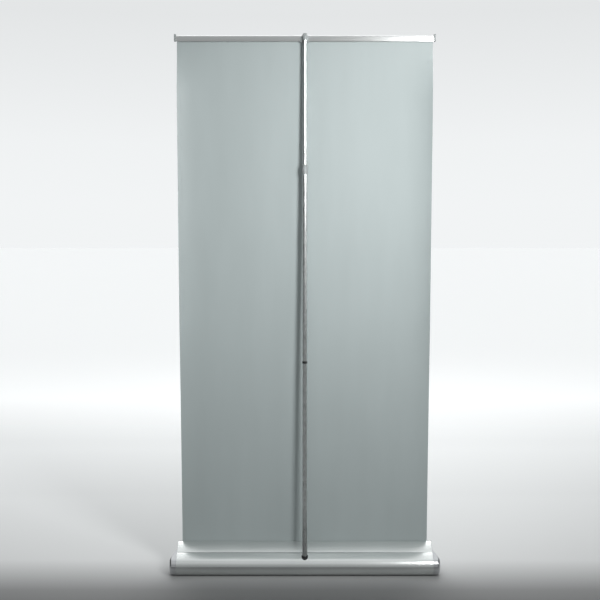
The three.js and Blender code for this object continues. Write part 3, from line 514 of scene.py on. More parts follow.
DRILL_LOW, DRILL_HIGH = 0.02, 0.2  # along the pole, well past the walls it bores
COLLAR_OVERLAP = 0.7 * MM
socket_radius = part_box("pole_socket")[1].x
hole_radius = socket_radius - COLLAR_OVERLAP
slope_down = (seam - slot_rear).normalized()


def wall_piece(name, node, path, bored):
    """An even wall along its path, pushed over the whole base and bored where the pole enters."""
    outline = path + list(reversed(offset_right(path, WALL)))
    piece = push(name, rounded(outline, EDGE), along_base, -HALF_BASE, HALF_BASE)
    if bored:
        cut_with(piece, turn("drill", [
            (0, DRILL_LOW), (hole_radius, DRILL_LOW), (hole_radius, DRILL_HIGH), (0, DRILL_HIGH)]))
    finish_piece(piece, "base", "satin_aluminium", node)


wall_piece("rear_shell_fine", "rear_shell", [
    seam + slope_down * SEAT_GAP, *rear_round, Vector((FLOOR_SEAM, FLOOR))], bored=True)
wall_piece("rear_cover_fine", "rear_top_cover", [
    Vector((SLOT_HALF, SLOT_TOP - LIP_DEPTH)), slot_rear, seam - slope_down * SEAT_GAP * 2],
    bored=True)
wall_piece("front_shell_fine", "front_shell", [
    Vector((FLOOR_SEAM - 2 * SEAT_GAP, FLOOR)), *toe_round, *front_sweep,
    Vector((-SLOT_HALF, SLOT_TOP - LIP_DEPTH))], bored=False)

# %% [markdown]
# ## The end caps
# Each cap is a squarish dome over the whole section, with a flat slanted facet where it would
# otherwise stand above the slope. The dome is built as rings that shrink towards the middle of
# the section, and the facet is a plane blended into it with a soft minimum. That keeps a crisp
# but rounded edge, which a plain minimum would leave ragged.

# %% End caps
CAP_SKIRT = 2 * MM
CAP_WALL = 1.6 * MM
CAP_ROUNDNESS = 6
CAP_SLANT_START = 84 * MM
CAP_SLANT_RISE = 0.352
CAP_SLANT = 0.617
SOFT_EDGE = 1.1 * MM
CAP_RINGS = 31
RING_CROWDING = 0.55  # under 1, the rings crowd towards the rim, where the dome turns fastest
cap_base = HALF_BASE + SEAT_GAP
CAP_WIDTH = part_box("end_cap_right")[1].x - cap_base
cap_centre = Vector((0, 45 * MM))
section = [slot_rear, seam, *rear_round, Vector((0, FLOOR)), *toe_round, *front_sweep]


def even_steps(outline, spacing):
    """The same closed outline with points at most one spacing apart."""
    dense = []
    for i, point in enumerate(outline):
        following = outline[(i + 1) % len(outline)]
        parts = max(1, math.ceil((following - point).length / spacing))
        dense += [point.lerp(following, k / parts) for k in range(parts)]
    return dense


def soft_minimum(a, b, softness):
    return -softness * math.log(math.exp(-a / softness) + math.exp(-b / softness))


def cap_reach(point, scale):
    dome = (1 - scale ** CAP_ROUNDNESS) ** (1 / CAP_ROUNDNESS)
    full = (CAP_WIDTH - CAP_SKIRT) * dome
    start = CAP_SLANT_START + CAP_SLANT_RISE * point.x
    slant = max(0, (start - point.y) * CAP_SLANT)
    return CAP_SKIRT + max(0, soft_minimum(full, slant, SOFT_EDGE))


def cap_rings():
    outline = even_steps(rounded(section, 0.9 * MM), 3 * MM)
    rings = [[(point, 0) for point in outline]]
    for k in range(CAP_RINGS):
        scale = math.cos(math.pi / 2 * k / CAP_RINGS) ** RING_CROWDING if k else 1
        ring = [cap_centre + (point - cap_centre) * scale for point in outline]
        rings.append([(point, cap_reach(point, scale)) for point in ring])
    return rings


def make_cap(name, sign):
    rings = cap_rings()
    count = len(rings[0])
    rings.append([(cap_centre, cap_reach(cap_centre, 0))])
    vertices = [along_base(p.x, p.y, sign * (cap_base + reach))
                for ring in rings for p, reach in ring]
    faces = []
    for r in range(CAP_RINGS):
        for i in range(count):
            j = (i + 1) % count
            faces.append((r * count + i, r * count + j, (r + 1) * count + j, (r + 1) * count + i))
    last = CAP_RINGS * count
    faces += [(last + i, last + (i + 1) % count, len(vertices) - 1) for i in range(count)]
    if sign > 0:
        faces = [tuple(reversed(face)) for face in faces]
    cap = new_object(name, mesh_from(name, vertices, faces))
    cap.data.flip_normals()
    modify(cap, "SOLIDIFY", thickness=CAP_WALL, offset=-1)
    apply_modifiers(cap)
    return cap


for side, sign in (("left", -1), ("right", 1)):
    cap = make_cap(f"end_cap_{side}_fine", sign)
    finish_piece(cap, "base", "chrome_cap", f"end_cap_{side}", sharp=40)

# %% [markdown]
# ## The film
# A banner film is polyester with a grey block-out coat on its back. It is stiff enough to hang
# flat but keeps a memory of the roll: both long edges curl towards the back, most where nothing
# holds them and not at all in the slot or in the rail. A grid with that curl written into each
# point shows it, and the shading of the curl is what makes a film read as film and not as board.

# %% Film
FILM_THICKNESS = 0.4 * MM
CURL_DEPTH = 24 * MM
CURL_WIDTH = 55 * MM
WAVE_DEPTH = 0.8 * MM
SLOT_EASE = 0.9  # metres above the slot over which the curl grows
RAIL_EASE = 0.22  # metres under the rail over which it fades
WAVE_EASE = 0.3
ROWS, MIDDLE_COLUMNS, EDGE_COLUMNS = 151, 25, 20
film_bottom, film_top = film_low.z, film_high.z


def free_share(z):
    """How free the film is: 0 where the slot or the rail holds it, 1 in between."""
    if z <= SLOT_TOP or z >= RAIL_BOTTOM:
        return 0
    from_slot = min(1, (z - SLOT_TOP) / SLOT_EASE)
    from_rail = min(1, (RAIL_BOTTOM - z) / RAIL_EASE)
    return from_slot ** 1.6 * (from_rail * from_rail * (3 - 2 * from_rail))


def film_offset(x, z):
    inward = HALF_FILM - abs(x)
    curl = -CURL_DEPTH * math.exp(-inward / CURL_WIDTH) * free_share(z)
    held = min(1, max(0, (z - SLOT_TOP) / WAVE_EASE), max(0, (RAIL_BOTTOM - z) / WAVE_EASE))
    wave = math.sin(z * 3.1 + x * 2.0) * math.cos(x * 4.4 + 0.6)
    return curl + WAVE_DEPTH * wave * held


def film_columns():
    """Positions across the film, close together at the curled edges."""
    middle = [-0.4 + 0.8 * i / (MIDDLE_COLUMNS - 1) for i in range(MIDDLE_COLUMNS)]
    edge = [0.4 + 0.1 * (i / EDGE_COLUMNS) ** 0.8 for i in range(1, EDGE_COLUMNS + 1)]
    scale = HALF_FILM / 0.5
    return [x * scale for x in [-e for e in reversed(edge)] + middle + edge]


# %% The film's two faces, its rim and its sheet
columns = film_columns()
across, sheet_size = len(columns), len(columns) * ROWS
film_vertices = []
for face_side in (-1, 1):
    for r in range(ROWS):
        z = film_bottom + (film_top - film_bottom) * r / (ROWS - 1)
        for x in columns:
            y = FILM_Y + film_offset(x, z) + face_side * FILM_THICKNESS / 2
            film_vertices.append(Vector((x, y, z)))
film_faces = []
for r in range(ROWS - 1):
    for c in range(across - 1):
        a = r * across + c
        film_faces.append((a, a + 1, a + 1 + across, a + across))
        b = a + sheet_size
        film_faces.append((b, b + across, b + 1 + across, b + 1))
rim = list(range(across))
rim += [r * across + across - 1 for r in range(1, ROWS)]
rim += [(ROWS - 1) * across + c for c in range(across - 2, -1, -1)]
rim += [r * across for r in range(ROWS - 2, 0, -1)]
for i, a in enumerate(rim):
    b = rim[(i + 1) % len(rim)]
    film_faces.append((b, a, a + sheet_size, b + sheet_size))
film = new_object("banner_film_fine", mesh_from("banner_film_fine", film_vertices, film_faces))
for slot in ("film", "film_print_side"):
    film.data.materials.append(MATERIALS[slot])
for face in film.data.polygons:
    face.material_index = 1 if all(v >= sheet_size for v in face.vertices) else 0
finish_piece(film, "base", "film", "banner_film", sharp=60)
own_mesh(film)

# %% [markdown]
# ## The pole
# Tubes are drawn, so they are true cylinders with a small turned chamfer at each end. They are
# made with many sides because a reflection on a tube shows every flat. The two lower sections
# share a size and meet at a black joint ring; the upper one slides inside.

# %% Pole tubes
LOWER_RADIUS = 9.5 * MM
TUBE_WALL = 1 * MM
UPPER_RADIUS = 8 * MM
JOINT = 850 * MM
JOINT_HALF = 4.5 * MM
LOCK = 1593 * MM
MIDDLE_END = 1623 * MM
CHAMFER = 0.25 * MM


def along_pole(height):
    return (height - pole_foot.z) / POLE_UP.z


def make_tube(name, radius, start, end):
    inner = radius - TUBE_WALL
    profile = [
        (radius - CHAMFER, start), (radius, start + CHAMFER), (radius, end - CHAMFER),
        (radius - CHAMFER, end), (inner + CHAMFER, end), (inner, end - CHAMFER),
        (inner, start + CHAMFER), (inner + CHAMFER, start)]
    return turn(name, profile, closed=True)


LOWER_START = 4.3 * MM
TELESCOPED = 90 * MM  # of the upper tube, inside the middle one
HOOKED = 20 * MM  # of the upper tube, above the foot of the rail
upper_end = along_pole(RAIL_BOTTOM + HOOKED)
for part, radius, start, end, body in (
        ("lower", LOWER_RADIUS, LOWER_START, JOINT - JOINT_HALF - SEAT_GAP, "base"),
        ("middle", LOWER_RADIUS, JOINT + JOINT_HALF + SEAT_GAP, MIDDLE_END, "base"),
        ("upper", UPPER_RADIUS, MIDDLE_END - TELESCOPED, upper_end, "upper_pole")):
    tube = make_tube(f"{part}_tube_fine", radius, start, end)
    finish_piece(tube, body, "pole_aluminium", f"pole_{part}_tube")

# %% [markdown]
# The joint ring, the sleeve of the lock and the collar in the base are turned too. Each gets
# rounded edges from the same helper as the sections, because a moulded edge is never sharp.

# %% Rings around the pole
ring_inner = LOWER_RADIUS - TUBE_WALL
ring_outer = LOWER_RADIUS + 0.4 * MM
joint_ring = soft_ring("joint_ring_fine", [
    (ring_inner, JOINT - JOINT_HALF), (ring_outer, JOINT - JOINT_HALF),
    (ring_outer, JOINT + JOINT_HALF), (ring_inner, JOINT + JOINT_HALF)], 0.35 * MM)
finish_piece(joint_ring, "base", "black_plastic", "pole_joint_ring")
sleeve_inner = LOWER_RADIUS + SEAT_GAP
sleeve_outer = sleeve_inner + 1.7 * MM
neck = sleeve_inner + 0.6 * MM
NECK_START, NECK_END = LOCK + 9.7 * MM, LOCK + 28 * MM
lock_sleeve = soft_ring("lock_sleeve_fine", [
    (sleeve_inner, LOCK), (sleeve_outer, LOCK), (sleeve_outer, NECK_START),
    (neck, NECK_START), (neck, NECK_END), (sleeve_inner, NECK_END)], 0.5 * MM)
finish_piece(lock_sleeve, "base", "grey_plastic", "lock_sleeve")

# %% [markdown]
# The collar follows the slope of the base, so it is a turned ring whose lower points slide down
# along the pole until they meet the slope. Everything under the cover is the plain cup.

# %% Pole socket with its collar
AXIS = 0.2 * MM  # the cup is closed, but a turned profile must not touch its axis
RUN_GAP = 0.4 * MM
CUP_OUTER = 12.1 * MM
CUP_BOTTOM, CUP_FLOOR = -3.3 * MM, -0.3 * MM
socket_bore = LOWER_RADIUS + RUN_GAP
slope_out = Vector((0, -math.sin(SLOPE), math.cos(SLOPE)))
seam_point = along_base(seam.x, seam.y, 0)
crossing = (seam_point - pole_foot).dot(slope_out) / POLE_UP.dot(slope_out)
collar_top = crossing + 6 * MM
collar_foot = crossing - 7.4 * MM
socket = soft_ring("pole_socket_fine", [
    (AXIS, CUP_BOTTOM), (CUP_OUTER, CUP_BOTTOM),
    (CUP_OUTER, crossing - 8.2 * MM), (CUP_OUTER, crossing - 8 * MM),
    (socket_radius, crossing - 7.9 * MM), (socket_radius, collar_top),
    (socket_bore, collar_top), (socket_bore, CUP_FLOOR), (AXIS, CUP_FLOOR)], 0.7 * MM)
for vertex in socket.data.vertices:
    outward = vertex.co - pole_foot
    height = outward.dot(POLE_UP)
    radial = (outward - POLE_UP * height).length
    under_collar = radial > CUP_OUTER + 0.2 * MM and height < crossing
    at_its_root = CUP_OUTER - 0.1 * MM < radial and crossing - 8.6 * MM < height < collar_foot
    if under_collar or at_its_root:
        above = (vertex.co - seam_point).dot(slope_out) - SEAT_GAP
        vertex.co -= POLE_UP * (above / POLE_UP.dot(slope_out))
finish_piece(socket, "base", "black_plastic", "pole_socket")

# %% [markdown]
# ## The twist lock
# The ring that clamps the upper tube is ribbed so that a hand can grip it. The ribs repeat around
# a circle, which is work for Geometry Nodes: a circle of points, one rib on each, and the plain
# ring joined to them. The number of ribs and their size are inputs, so the grip can be redrawn
# without touching the tree.

# %% Helper: a node tree with named inputs


def new_tree(name, inputs):
    tree = bpy.data.node_groups.new(name, "GeometryNodeTree")
    tree.interface.new_socket("Geometry", in_out="INPUT", socket_type="NodeSocketGeometry")
    for label, kind in inputs:
        tree.interface.new_socket(label, in_out="INPUT", socket_type="NodeSocket" + kind)
    tree.interface.new_socket("Geometry", in_out="OUTPUT", socket_type="NodeSocketGeometry")
    start = tree.nodes.new("NodeGroupInput")
    end = tree.nodes.new("NodeGroupOutput")
    return tree, start.outputs, end.inputs["Geometry"]


def tree_node(tree, kind, settings=(), values=(), links=()):
    """One node with its settings, its plain values and the sockets that feed it."""
    node = tree.nodes.new("GeometryNode" + kind)
    for name, value in settings:
        setattr(node, name, value)
    for name, value in values:
        node.inputs[name].default_value = value
    for name, source in links:
        tree.links.new(source, node.inputs[name])
    return node


def finish_tree(tree, geometry, finish, end):
    """Every tree ends the same way: real geometry and its finish."""
    real = tree_node(tree, "RealizeInstances", links=[("Geometry", geometry)])
    painted = tree_node(tree, "SetMaterial", links=[
        ("Geometry", real.outputs["Geometry"]), ("Material", finish)])
    tree.links.new(painted.outputs["Geometry"], end)


def joined(tree, *geometries):
    node = tree_node(tree, "JoinGeometry")
    for geometry in geometries:
        tree.links.new(geometry, node.inputs["Geometry"])
    return node.outputs["Geometry"]


def grow(thing, tree, **values):
    """The tree on an object, its inputs set by name, and its result made the mesh."""
    modifier = thing.modifiers.new(tree.name, "NODES")
    modifier.node_group = tree
    for item in tree.interface.items_tree:
        if item.in_out == "INPUT" and item.name in values:
            modifier[item.identifier] = values[item.name]
    apply_modifiers(thing)
    return thing


# %% Twist ring
RIB_COUNT = 24
ribs, rib_in, rib_out = new_tree("ribs_around_a_ring", [
    ("Circle Radius", "Float"), ("Rib Count", "Int"), ("Rib Radius", "Float"),
    ("Rib Length", "Float"), ("Finish", "Material")])
circle = tree_node(ribs, "MeshCircle", links=[
    ("Vertices", rib_in["Rib Count"]), ("Radius", rib_in["Circle Radius"])])
bar = tree_node(ribs, "MeshCylinder", values=[("Vertices", 12)], links=[
    ("Radius", rib_in["Rib Radius"]), ("Depth", rib_in["Rib Length"])])
on_circle = tree_node(ribs, "InstanceOnPoints", links=[
    ("Points", circle.outputs["Mesh"]), ("Instance", bar.outputs["Mesh"])])
ribbed = joined(ribs, rib_in["Geometry"], on_circle.outputs["Instances"])
finish_tree(ribs, ribbed, rib_in["Finish"], rib_out)

RING_HALF = 13 * MM
ring_bore = neck + 0.4 * MM
ring_grip = ring_bore + 1.3 * MM
ring_core = ring_grip - 0.45 * MM
throat = UPPER_RADIUS + 0.4 * MM
ring_low, ring_high = LOCK_CENTRE - RING_HALF, LOCK_CENTRE + RING_HALF
twist_ring = soft_ring("twist_ring_fine", [
    (ring_bore, ring_low), (ring_grip, ring_low),
    (ring_grip, ring_low + 2.4 * MM), (ring_core, ring_low + 2.8 * MM),
    (ring_core, ring_high - 3.2 * MM), (ring_grip, ring_high - 2.8 * MM),
    (ring_grip, ring_high), (throat, ring_high),
    (throat, ring_high - 4 * MM), (ring_bore, ring_high - 4 * MM)], 0.6 * MM)
ring_centre = pole_foot + POLE_UP * LOCK_CENTRE
pole_frame = Matrix.Translation(ring_centre) @ POLE_UP.to_track_quat("Z", "Y").to_matrix().to_4x4()
twist_ring.data.transform(pole_frame.inverted())
grow(twist_ring, ribs, **{
    "Circle Radius": ring_core - 0.1 * MM, "Rib Count": RIB_COUNT, "Rib Radius": 0.52 * MM,
    "Rib Length": 2 * RING_HALF - 5 * MM, "Finish": MATERIALS["grey_plastic"]})
twist_ring.data.transform(pole_frame)
finish_piece(twist_ring, "twist_lock", "grey_plastic", "twist_ring")

# %% [markdown]
# ## The hook
# The hook is one moulding: a plate behind the rail, a boss around the tube and a head that
# reaches over the rail. Moulded parts flow into one another, so the rough parts are overlapped,
# remeshed into one skin and smoothed, which leaves a fillet wherever two of them meet. The
# working faces, where the rail sits and the tube enters, are cut afterwards so they stay exact.

# %% Hook
RAIL_FACE = 6.8 * MM
HOOK_HALF = 18.5 * MM
HOOK_TOP = 30 * MM
HEAD_HALF = 8 * MM
BEAD_RADIUS = 2.3 * MM
SOCKET_OUTER = BEAD_RADIUS + 1.9 * MM
RAIL_FACE_HEIGHT = 19.5 * MM
bead = Vector((0.4 * MM, 23 * MM - SOCKET_OUTER))


def rounded_rectangle(left, right, low, high, radius):
    corners = ((left, low), (right, low), (right, high), (left, high))
    return rounded(corners, radius, steps=8)


def circle_outline(centre, radius, sides=48):
    return arc(centre, radius, 0, 360, sides)[:-1]


def along_rail(distance, height, x):
    return Vector((x, FILM_Y - distance, RAIL_BOTTOM + height))


def facing_back(x, height, distance):
    return along_rail(distance, height, x)


def merge(name, *parts):
    """Several meshes in one, without changing any of them."""
    work = bmesh.new()
    for part in parts:
        work.from_mesh(part.data)
    mesh = bpy.data.meshes.new(name)
    work.to_mesh(mesh)
    work.free()
    for part in parts:
        bpy.data.objects.remove(part)
    return new_object(name, mesh)


plate_front = RAIL_FACE + SEAT_GAP
boss_radius = UPPER_RADIUS + SEAT_GAP + 2.2 * MM
head_rear = (pole_foot.y - FILM_Y) * -1 - upper_end * POLE_UP.y + UPPER_RADIUS
hook_plate = push("plate", rounded_rectangle(-HOOK_HALF, HOOK_HALF, -4 * MM, 20 * MM, 5 * MM),
                  facing_back, plate_front - 1 * MM, plate_front + 5.7 * MM)
boss_low = along_pole(RAIL_BOTTOM + 3.4 * MM)
boss_high = along_pole(RAIL_BOTTOM + 19.6 * MM)
boss_tip = along_pole(RAIL_BOTTOM + HOOK_TOP - 4 * MM)
hook_boss = turn("boss", [(0, boss_low), (boss_radius, boss_low), (boss_radius, boss_high),
                          (HEAD_HALF, boss_tip), (0, boss_tip)])
hook_head = push("head", rounded_rectangle(
    bead.x - SOCKET_OUTER * 0.4, head_rear, bead.y, HOOK_TOP - 0.2 * MM, 4 * MM),
    along_rail, 0.2 * MM - HEAD_HALF, HEAD_HALF - 0.2 * MM)
hook = merge("top_hook_fine", hook_plate, hook_boss, hook_head)
modify(hook, "REMESH", mode="VOXEL", voxel_size=0.55 * MM)
modify(hook, "SMOOTH", factor=0.5, iterations=5)
apply_modifiers(hook)
ROOM_HALF = 0.04  # the cutters reach well past the hook on every side
rail_room = push("rail_room", circle_outline(bead, SOCKET_OUTER + SEAT_GAP),
                 along_rail, -ROOM_HALF, ROOM_HALF)
front_room = push("front_room", rounded_rectangle(
    plate_front - ROOM_HALF, plate_front, -ROOM_HALF, RAIL_FACE_HEIGHT + SEAT_GAP, 0.01 * MM),
    along_rail, -ROOM_HALF, ROOM_HALF)
tube_room_radius, tube_room_low = UPPER_RADIUS + SEAT_GAP, upper_end - 0.2
tube_room = turn("tube_room", [
    (0, tube_room_low), (tube_room_radius, tube_room_low),
    (tube_room_radius, upper_end + SEAT_GAP), (0, upper_end + SEAT_GAP)])
cut_with(hook, rail_room, front_room, tube_room)
finish_piece(hook, "upper_pole", "grey_plastic", "top_hook", sharp=45)

# %% [markdown]
# ## The rail
# The rail is two extrusions that close on the film like a clothes peg. The rear half carries a
# bead along its top, the front jaw turns on the bead, and each half ends in a lip that grips.

# %% Rail
FILM_HALF = FILM_THICKNESS / 2
RAIL_WALL = 1.6 * MM
LIP = 3.4 * MM
rear_outline = [Vector(p) * MM for p in (
    (0.5, 0), (6.8, 0), (6.8, 19.5), (5.2, 19.5), (5.2, 14.5),
    (2.0, 18.4), (0.4, 17.2), (5.2, 13.0), (5.2, 3.4), (0.5, 3.4))]
rail_wall = push("wall", rounded(rear_outline, 0.55 * MM), along_rail, -HALF_RAIL, HALF_RAIL)
rail_bead = push("bead", circle_outline(bead, BEAD_RADIUS), along_rail, -HALF_RAIL, HALF_RAIL)
rail = merge("rail_rear_fine", rail_wall, rail_bead)
finish_piece(rail, "upper_pole", "rail_aluminium", "rail_rear")

jaw_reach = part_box("rail_jaw")[1].x
curl = arc(bead, SOCKET_OUTER, 22, 235, 40) + arc(bead, SOCKET_OUTER - 1.5 * MM, 235, 22, 40)
jaw_curl = push("curl", curl, along_rail, -jaw_reach, jaw_reach)
jaw_lip = -(FILM_HALF + 1.8 * MM)
jaw_outline = [
    Vector((-RAIL_FACE, 0)), Vector((jaw_lip, 0)), Vector((jaw_lip, LIP)),
    Vector((RAIL_WALL - RAIL_FACE, LIP)), Vector((RAIL_WALL - RAIL_FACE, bead.y - SOCKET_OUTER)),
    Vector((bead.x - 3.2 * MM, bead.y - 1.6 * MM)), Vector((bead.x - 3.2 * MM, bead.y + 0.5 * MM)),
    Vector((-RAIL_FACE, bead.y - SOCKET_OUTER * 0.5))]
jaw_wall = push("jaw_wall", rounded(jaw_outline, 0.55 * MM), along_rail, -jaw_reach, jaw_reach)
jaw = merge("rail_jaw_fine", jaw_curl, jaw_wall)
finish_piece(jaw, "jaw", "rail_aluminium", "rail_jaw")

# %% [markdown]
# Each end of the rail is closed by a moulded cap with a spigot that plugs into the rear half.
# The cap stands a little proud of the rail on every side, so the rail never scratches a wall.

# %% Rail caps
for side, sign in (("left", -1), ("right", 1)):
    node = f"rail_cap_{side}"
    cap_low, cap_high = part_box(node)
    outer_end = max(abs(cap_low.x), abs(cap_high.x)) * sign
    inner_end = sign * (HALF_RAIL + SEAT_GAP)
    outline = rounded_rectangle(FILM_Y - cap_high.y, FILM_Y - cap_low.y,
                                cap_low.z - RAIL_BOTTOM, cap_high.z - RAIL_BOTTOM, 5 * MM)
    cap = push(f"rail_cap_{side}_fine", outline, along_rail, *sorted((inner_end, outer_end)))
    modify(cap, "BEVEL", width=1.2 * MM, segments=4, limit_method="ANGLE",
           angle_limit=math.radians(50))
    apply_modifiers(cap)
    spigot_end = inner_end - sign * 9 * MM
    spigot = push("spigot", rounded_rectangle(1.5 * MM, 4.9 * MM, 4 * MM, 12.8 * MM, 0.5 * MM),
                  along_rail, *sorted((spigot_end, inner_end + sign * 2 * MM)))
    screw_low, screw_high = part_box(f"rail_cap_screw_{side}")
    screw_axis = (FILM_Y - (screw_low.y + screw_high.y) / 2,
                  (screw_low.z + screw_high.z) / 2 - RAIL_BOTTOM)
    for part in (cap, spigot):
        drill = push("drill", circle_outline(screw_axis, 1.6 * MM, 32), along_rail,
                     min(spigot_end, outer_end) - 0.01, max(spigot_end, outer_end) + 0.01)
        cut_with(part, drill)
    cap = merge(f"rail_cap_{side}_fine", cap, spigot)
    finish_piece(cap, "upper_pole", "grey_plastic", node, sharp=40)

# %% [markdown]
# ## Feet
# Four ribbed rubber feet carry the base. They are the same moulding four times, so one foot is
# made once and Geometry Nodes puts a copy at each of four points. The points are a small mesh of
# their own, taken from the places of the feet in the model.

# %% Feet
copies, copy_in, copy_out = new_tree("copies_on_points", [
    ("Piece", "Object"), ("Finish", "Material")])
piece = tree_node(copies, "ObjectInfo", values=[("As Instance", True)],
                  links=[("Object", copy_in["Piece"])])
placed = tree_node(copies, "InstanceOnPoints", links=[
    ("Points", copy_in["Geometry"]), ("Instance", piece.outputs["Geometry"])])
finish_tree(copies, placed.outputs["Instances"], copy_in["Finish"], copy_out)


def upright(angle, radius, height):
    return Vector((radius * math.cos(angle), radius * math.sin(angle), height))


def lathe(name, profile, sides=48):
    """A profile turned around the vertical axis at the origin."""
    return revolve(name, profile, upright, sides, closed=False)


FOOT_NODES = [f"foot_{end}_{side}" for end in ("rear", "front") for side in ("left", "right")]
foot_low, foot_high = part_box(FOOT_NODES[0])
foot_radius = (foot_high.x - foot_low.x) / 2
foot_height = foot_high.z - foot_low.z
TREAD_DEPTH = 0.5 * MM
tread = [(0, 0)]
for groove in ((0.3, 0.34, 0.4, 0.44), (0.6, 0.64, 0.7, 0.74)):  # shares of the radius
    tread += [(foot_radius * share, depth)
              for share, depth in zip(groove, (0, TREAD_DEPTH, TREAD_DEPTH, 0))]
tread += [(foot_radius * 0.96, 0), (foot_radius, 0.3 * MM), (foot_radius, foot_height - 0.3 * MM),
          (foot_radius * 0.97, foot_height), (0, foot_height)]
one_foot = lathe("one_foot", tread)
foot_places = []
for node in FOOT_NODES:
    low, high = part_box(node)
    foot_places.append(Vector(((low.x + high.x) / 2, (low.y + high.y) / 2, low.z)))
feet = new_object("feet_fine", mesh_from("feet_fine", foot_places, []))
grow(feet, copies, **{"Piece": one_foot, "Finish": MATERIALS["rubber"]})
bpy.data.objects.remove(one_foot)
finish_piece(feet, "base", "rubber", *FOOT_NODES)

# %% [markdown]
# ## Rail cap screws
# One pan-head screw holds each cap of the rail. A drive recess is what makes a screw read as a
# screw, so a hexagonal one is cut into the dome of the head.

# %% Rail cap screws
for side, sign in (("left", -1), ("right", 1)):
    node = f"rail_cap_screw_{side}"
    low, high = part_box(node)
    centre_y, centre_z = (low.y + high.y) / 2, (low.z + high.z) / 2
    head_radius = (high.z - low.z) / 2
    head_end = max(abs(low.x), abs(high.x))
    shank_end = min(abs(low.x), abs(high.x))
    head_start = head_end - 1.2 * MM
    screw = lathe(f"rail_screw_{side}_fine", [
        (0, shank_end), (1.0 * MM, shank_end), (1.3 * MM, shank_end + 0.6 * MM),
        (1.3 * MM, head_start), (head_radius, head_start), (head_radius, head_start + 0.4 * MM),
        (head_radius * 0.9, head_end - 0.35 * MM), (head_radius * 0.6, head_end - 0.08 * MM),
        (0, head_end)])
    recess = lathe("recess", [
        (0, head_end - 0.7 * MM), (0.9 * MM, head_end - 0.7 * MM),
        (0.9 * MM, head_end + 1 * MM), (0, head_end + 1 * MM)], sides=6)
    cut_with(screw, recess)
    lying = Matrix.Rotation(sign * math.pi / 2, 4, "Y")
    screw.data.transform(Matrix.Translation((0, centre_y, centre_z)) @ lying)
    finish_piece(screw, "upper_pole", "steel", node, sharp=35)

# %% [markdown]
# ## Felt in the slot
# Two strips of felt wipe the film as it winds in and hide the dark slot. Felt shows as a fine
# pile, so each strip is a thin backing with thousands of short tapered fibres standing on its
# upper edge. They lean a little at random; the seed is fixed so the pile is always the same.

# %% Felt strips
pile, pile_in, pile_out = new_tree("pile_along_a_strip", [
    ("Fibre Count", "Int"), ("Fibre Length", "Float"), ("Fibre Radius", "Float"),
    ("Lean", "Float"), ("Start", "Vector"), ("End", "Vector"), ("Seed", "Int"),
    ("Finish", "Material")])
row = tree_node(pile, "MeshLine", settings=[("mode", "END_POINTS")], links=[
    ("Count", pile_in["Fibre Count"]), ("Start Location", pile_in["Start"]),
    ("Offset", pile_in["End"])])
fibre = tree_node(pile, "MeshCone", values=[("Vertices", 4), ("Radius Top", 0.00003)], links=[
    ("Radius Bottom", pile_in["Fibre Radius"]), ("Depth", pile_in["Fibre Length"])])
tilt = pile.nodes.new("FunctionNodeRandomValue")
tilt.data_type = "FLOAT_VECTOR"
for limit, direction in enumerate((-1, 1)):
    lean_limit = pile.nodes.new("ShaderNodeVectorMath")
    lean_limit.operation = "SCALE"
    lean_limit.inputs[0].default_value = (direction, direction, direction)
    pile.links.new(pile_in["Lean"], lean_limit.inputs["Scale"])
    pile.links.new(lean_limit.outputs["Vector"], tilt.inputs[limit])
pile.links.new(pile_in["Seed"], tilt.inputs["Seed"])
standing = tree_node(pile, "InstanceOnPoints", links=[
    ("Points", row.outputs["Mesh"]), ("Instance", fibre.outputs["Mesh"]),
    ("Rotation", tilt.outputs[0])])
strip_and_pile = joined(pile, pile_in["Geometry"], standing.outputs["Instances"])
finish_tree(pile, strip_and_pile, pile_in["Finish"], pile_out)

for seed, end in ((3, "rear"), (7, "front")):
    node = f"slot_felt_{end}"
    low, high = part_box(node)
    middle_y = (low.y + high.y) / 2
    backing_top = high.z - 1.2 * MM
    outline = [Vector((low.y, low.z)), Vector((high.y, low.z)),
               Vector((high.y, backing_top)), Vector((low.y, backing_top))]
    strip = push(f"slot_felt_{end}_fine", rounded(outline, 0.3 * MM),
                 lambda y, z, x: Vector((x, y, z)), low.x, high.x)
    grow(strip, pile, **{
        "Fibre Count": 1400, "Fibre Length": 1.4 * MM, "Fibre Radius": 0.22 * MM, "Lean": 0.25,
        "Start": (low.x + 1 * MM, middle_y, backing_top - 0.3 * MM),
        "End": (high.x - 1 * MM, middle_y, backing_top - 0.3 * MM),
        "Seed": seed, "Finish": MATERIALS["felt"]})
    finish_piece(strip, "base", "felt", node, sharp=50)

# %% [markdown]
# ## The torsion spring
# The spring that winds the film in is a wire coiled around its shaft. A spiral curve and a round
# profile are all it takes. It sits inside the roller, so it is seen only when the roller is
# hidden, but its coil must be right for a reader who takes the stand apart.

# %% Torsion spring
coil, coil_in, coil_out = new_tree("wire_on_a_spiral", [
    ("Turns", "Float"), ("Coil Radius", "Float"), ("Coil Length", "Float"),
    ("Wire Radius", "Float"), ("Finish", "Material")])
spiral = tree_node(coil, "CurveSpiral", values=[("Resolution", 32)], links=[
    ("Rotations", coil_in["Turns"]), ("Start Radius", coil_in["Coil Radius"]),
    ("End Radius", coil_in["Coil Radius"]), ("Height", coil_in["Coil Length"])])
section_circle = tree_node(coil, "CurvePrimitiveCircle", values=[("Resolution", 12)], links=[
    ("Radius", coil_in["Wire Radius"])])
wound = tree_node(coil, "CurveToMesh", values=[("Fill Caps", True)], links=[
    ("Curve", spiral.outputs["Curve"]), ("Profile Curve", section_circle.outputs["Curve"])])
finish_tree(coil, wound.outputs["Mesh"], coil_in["Finish"], coil_out)

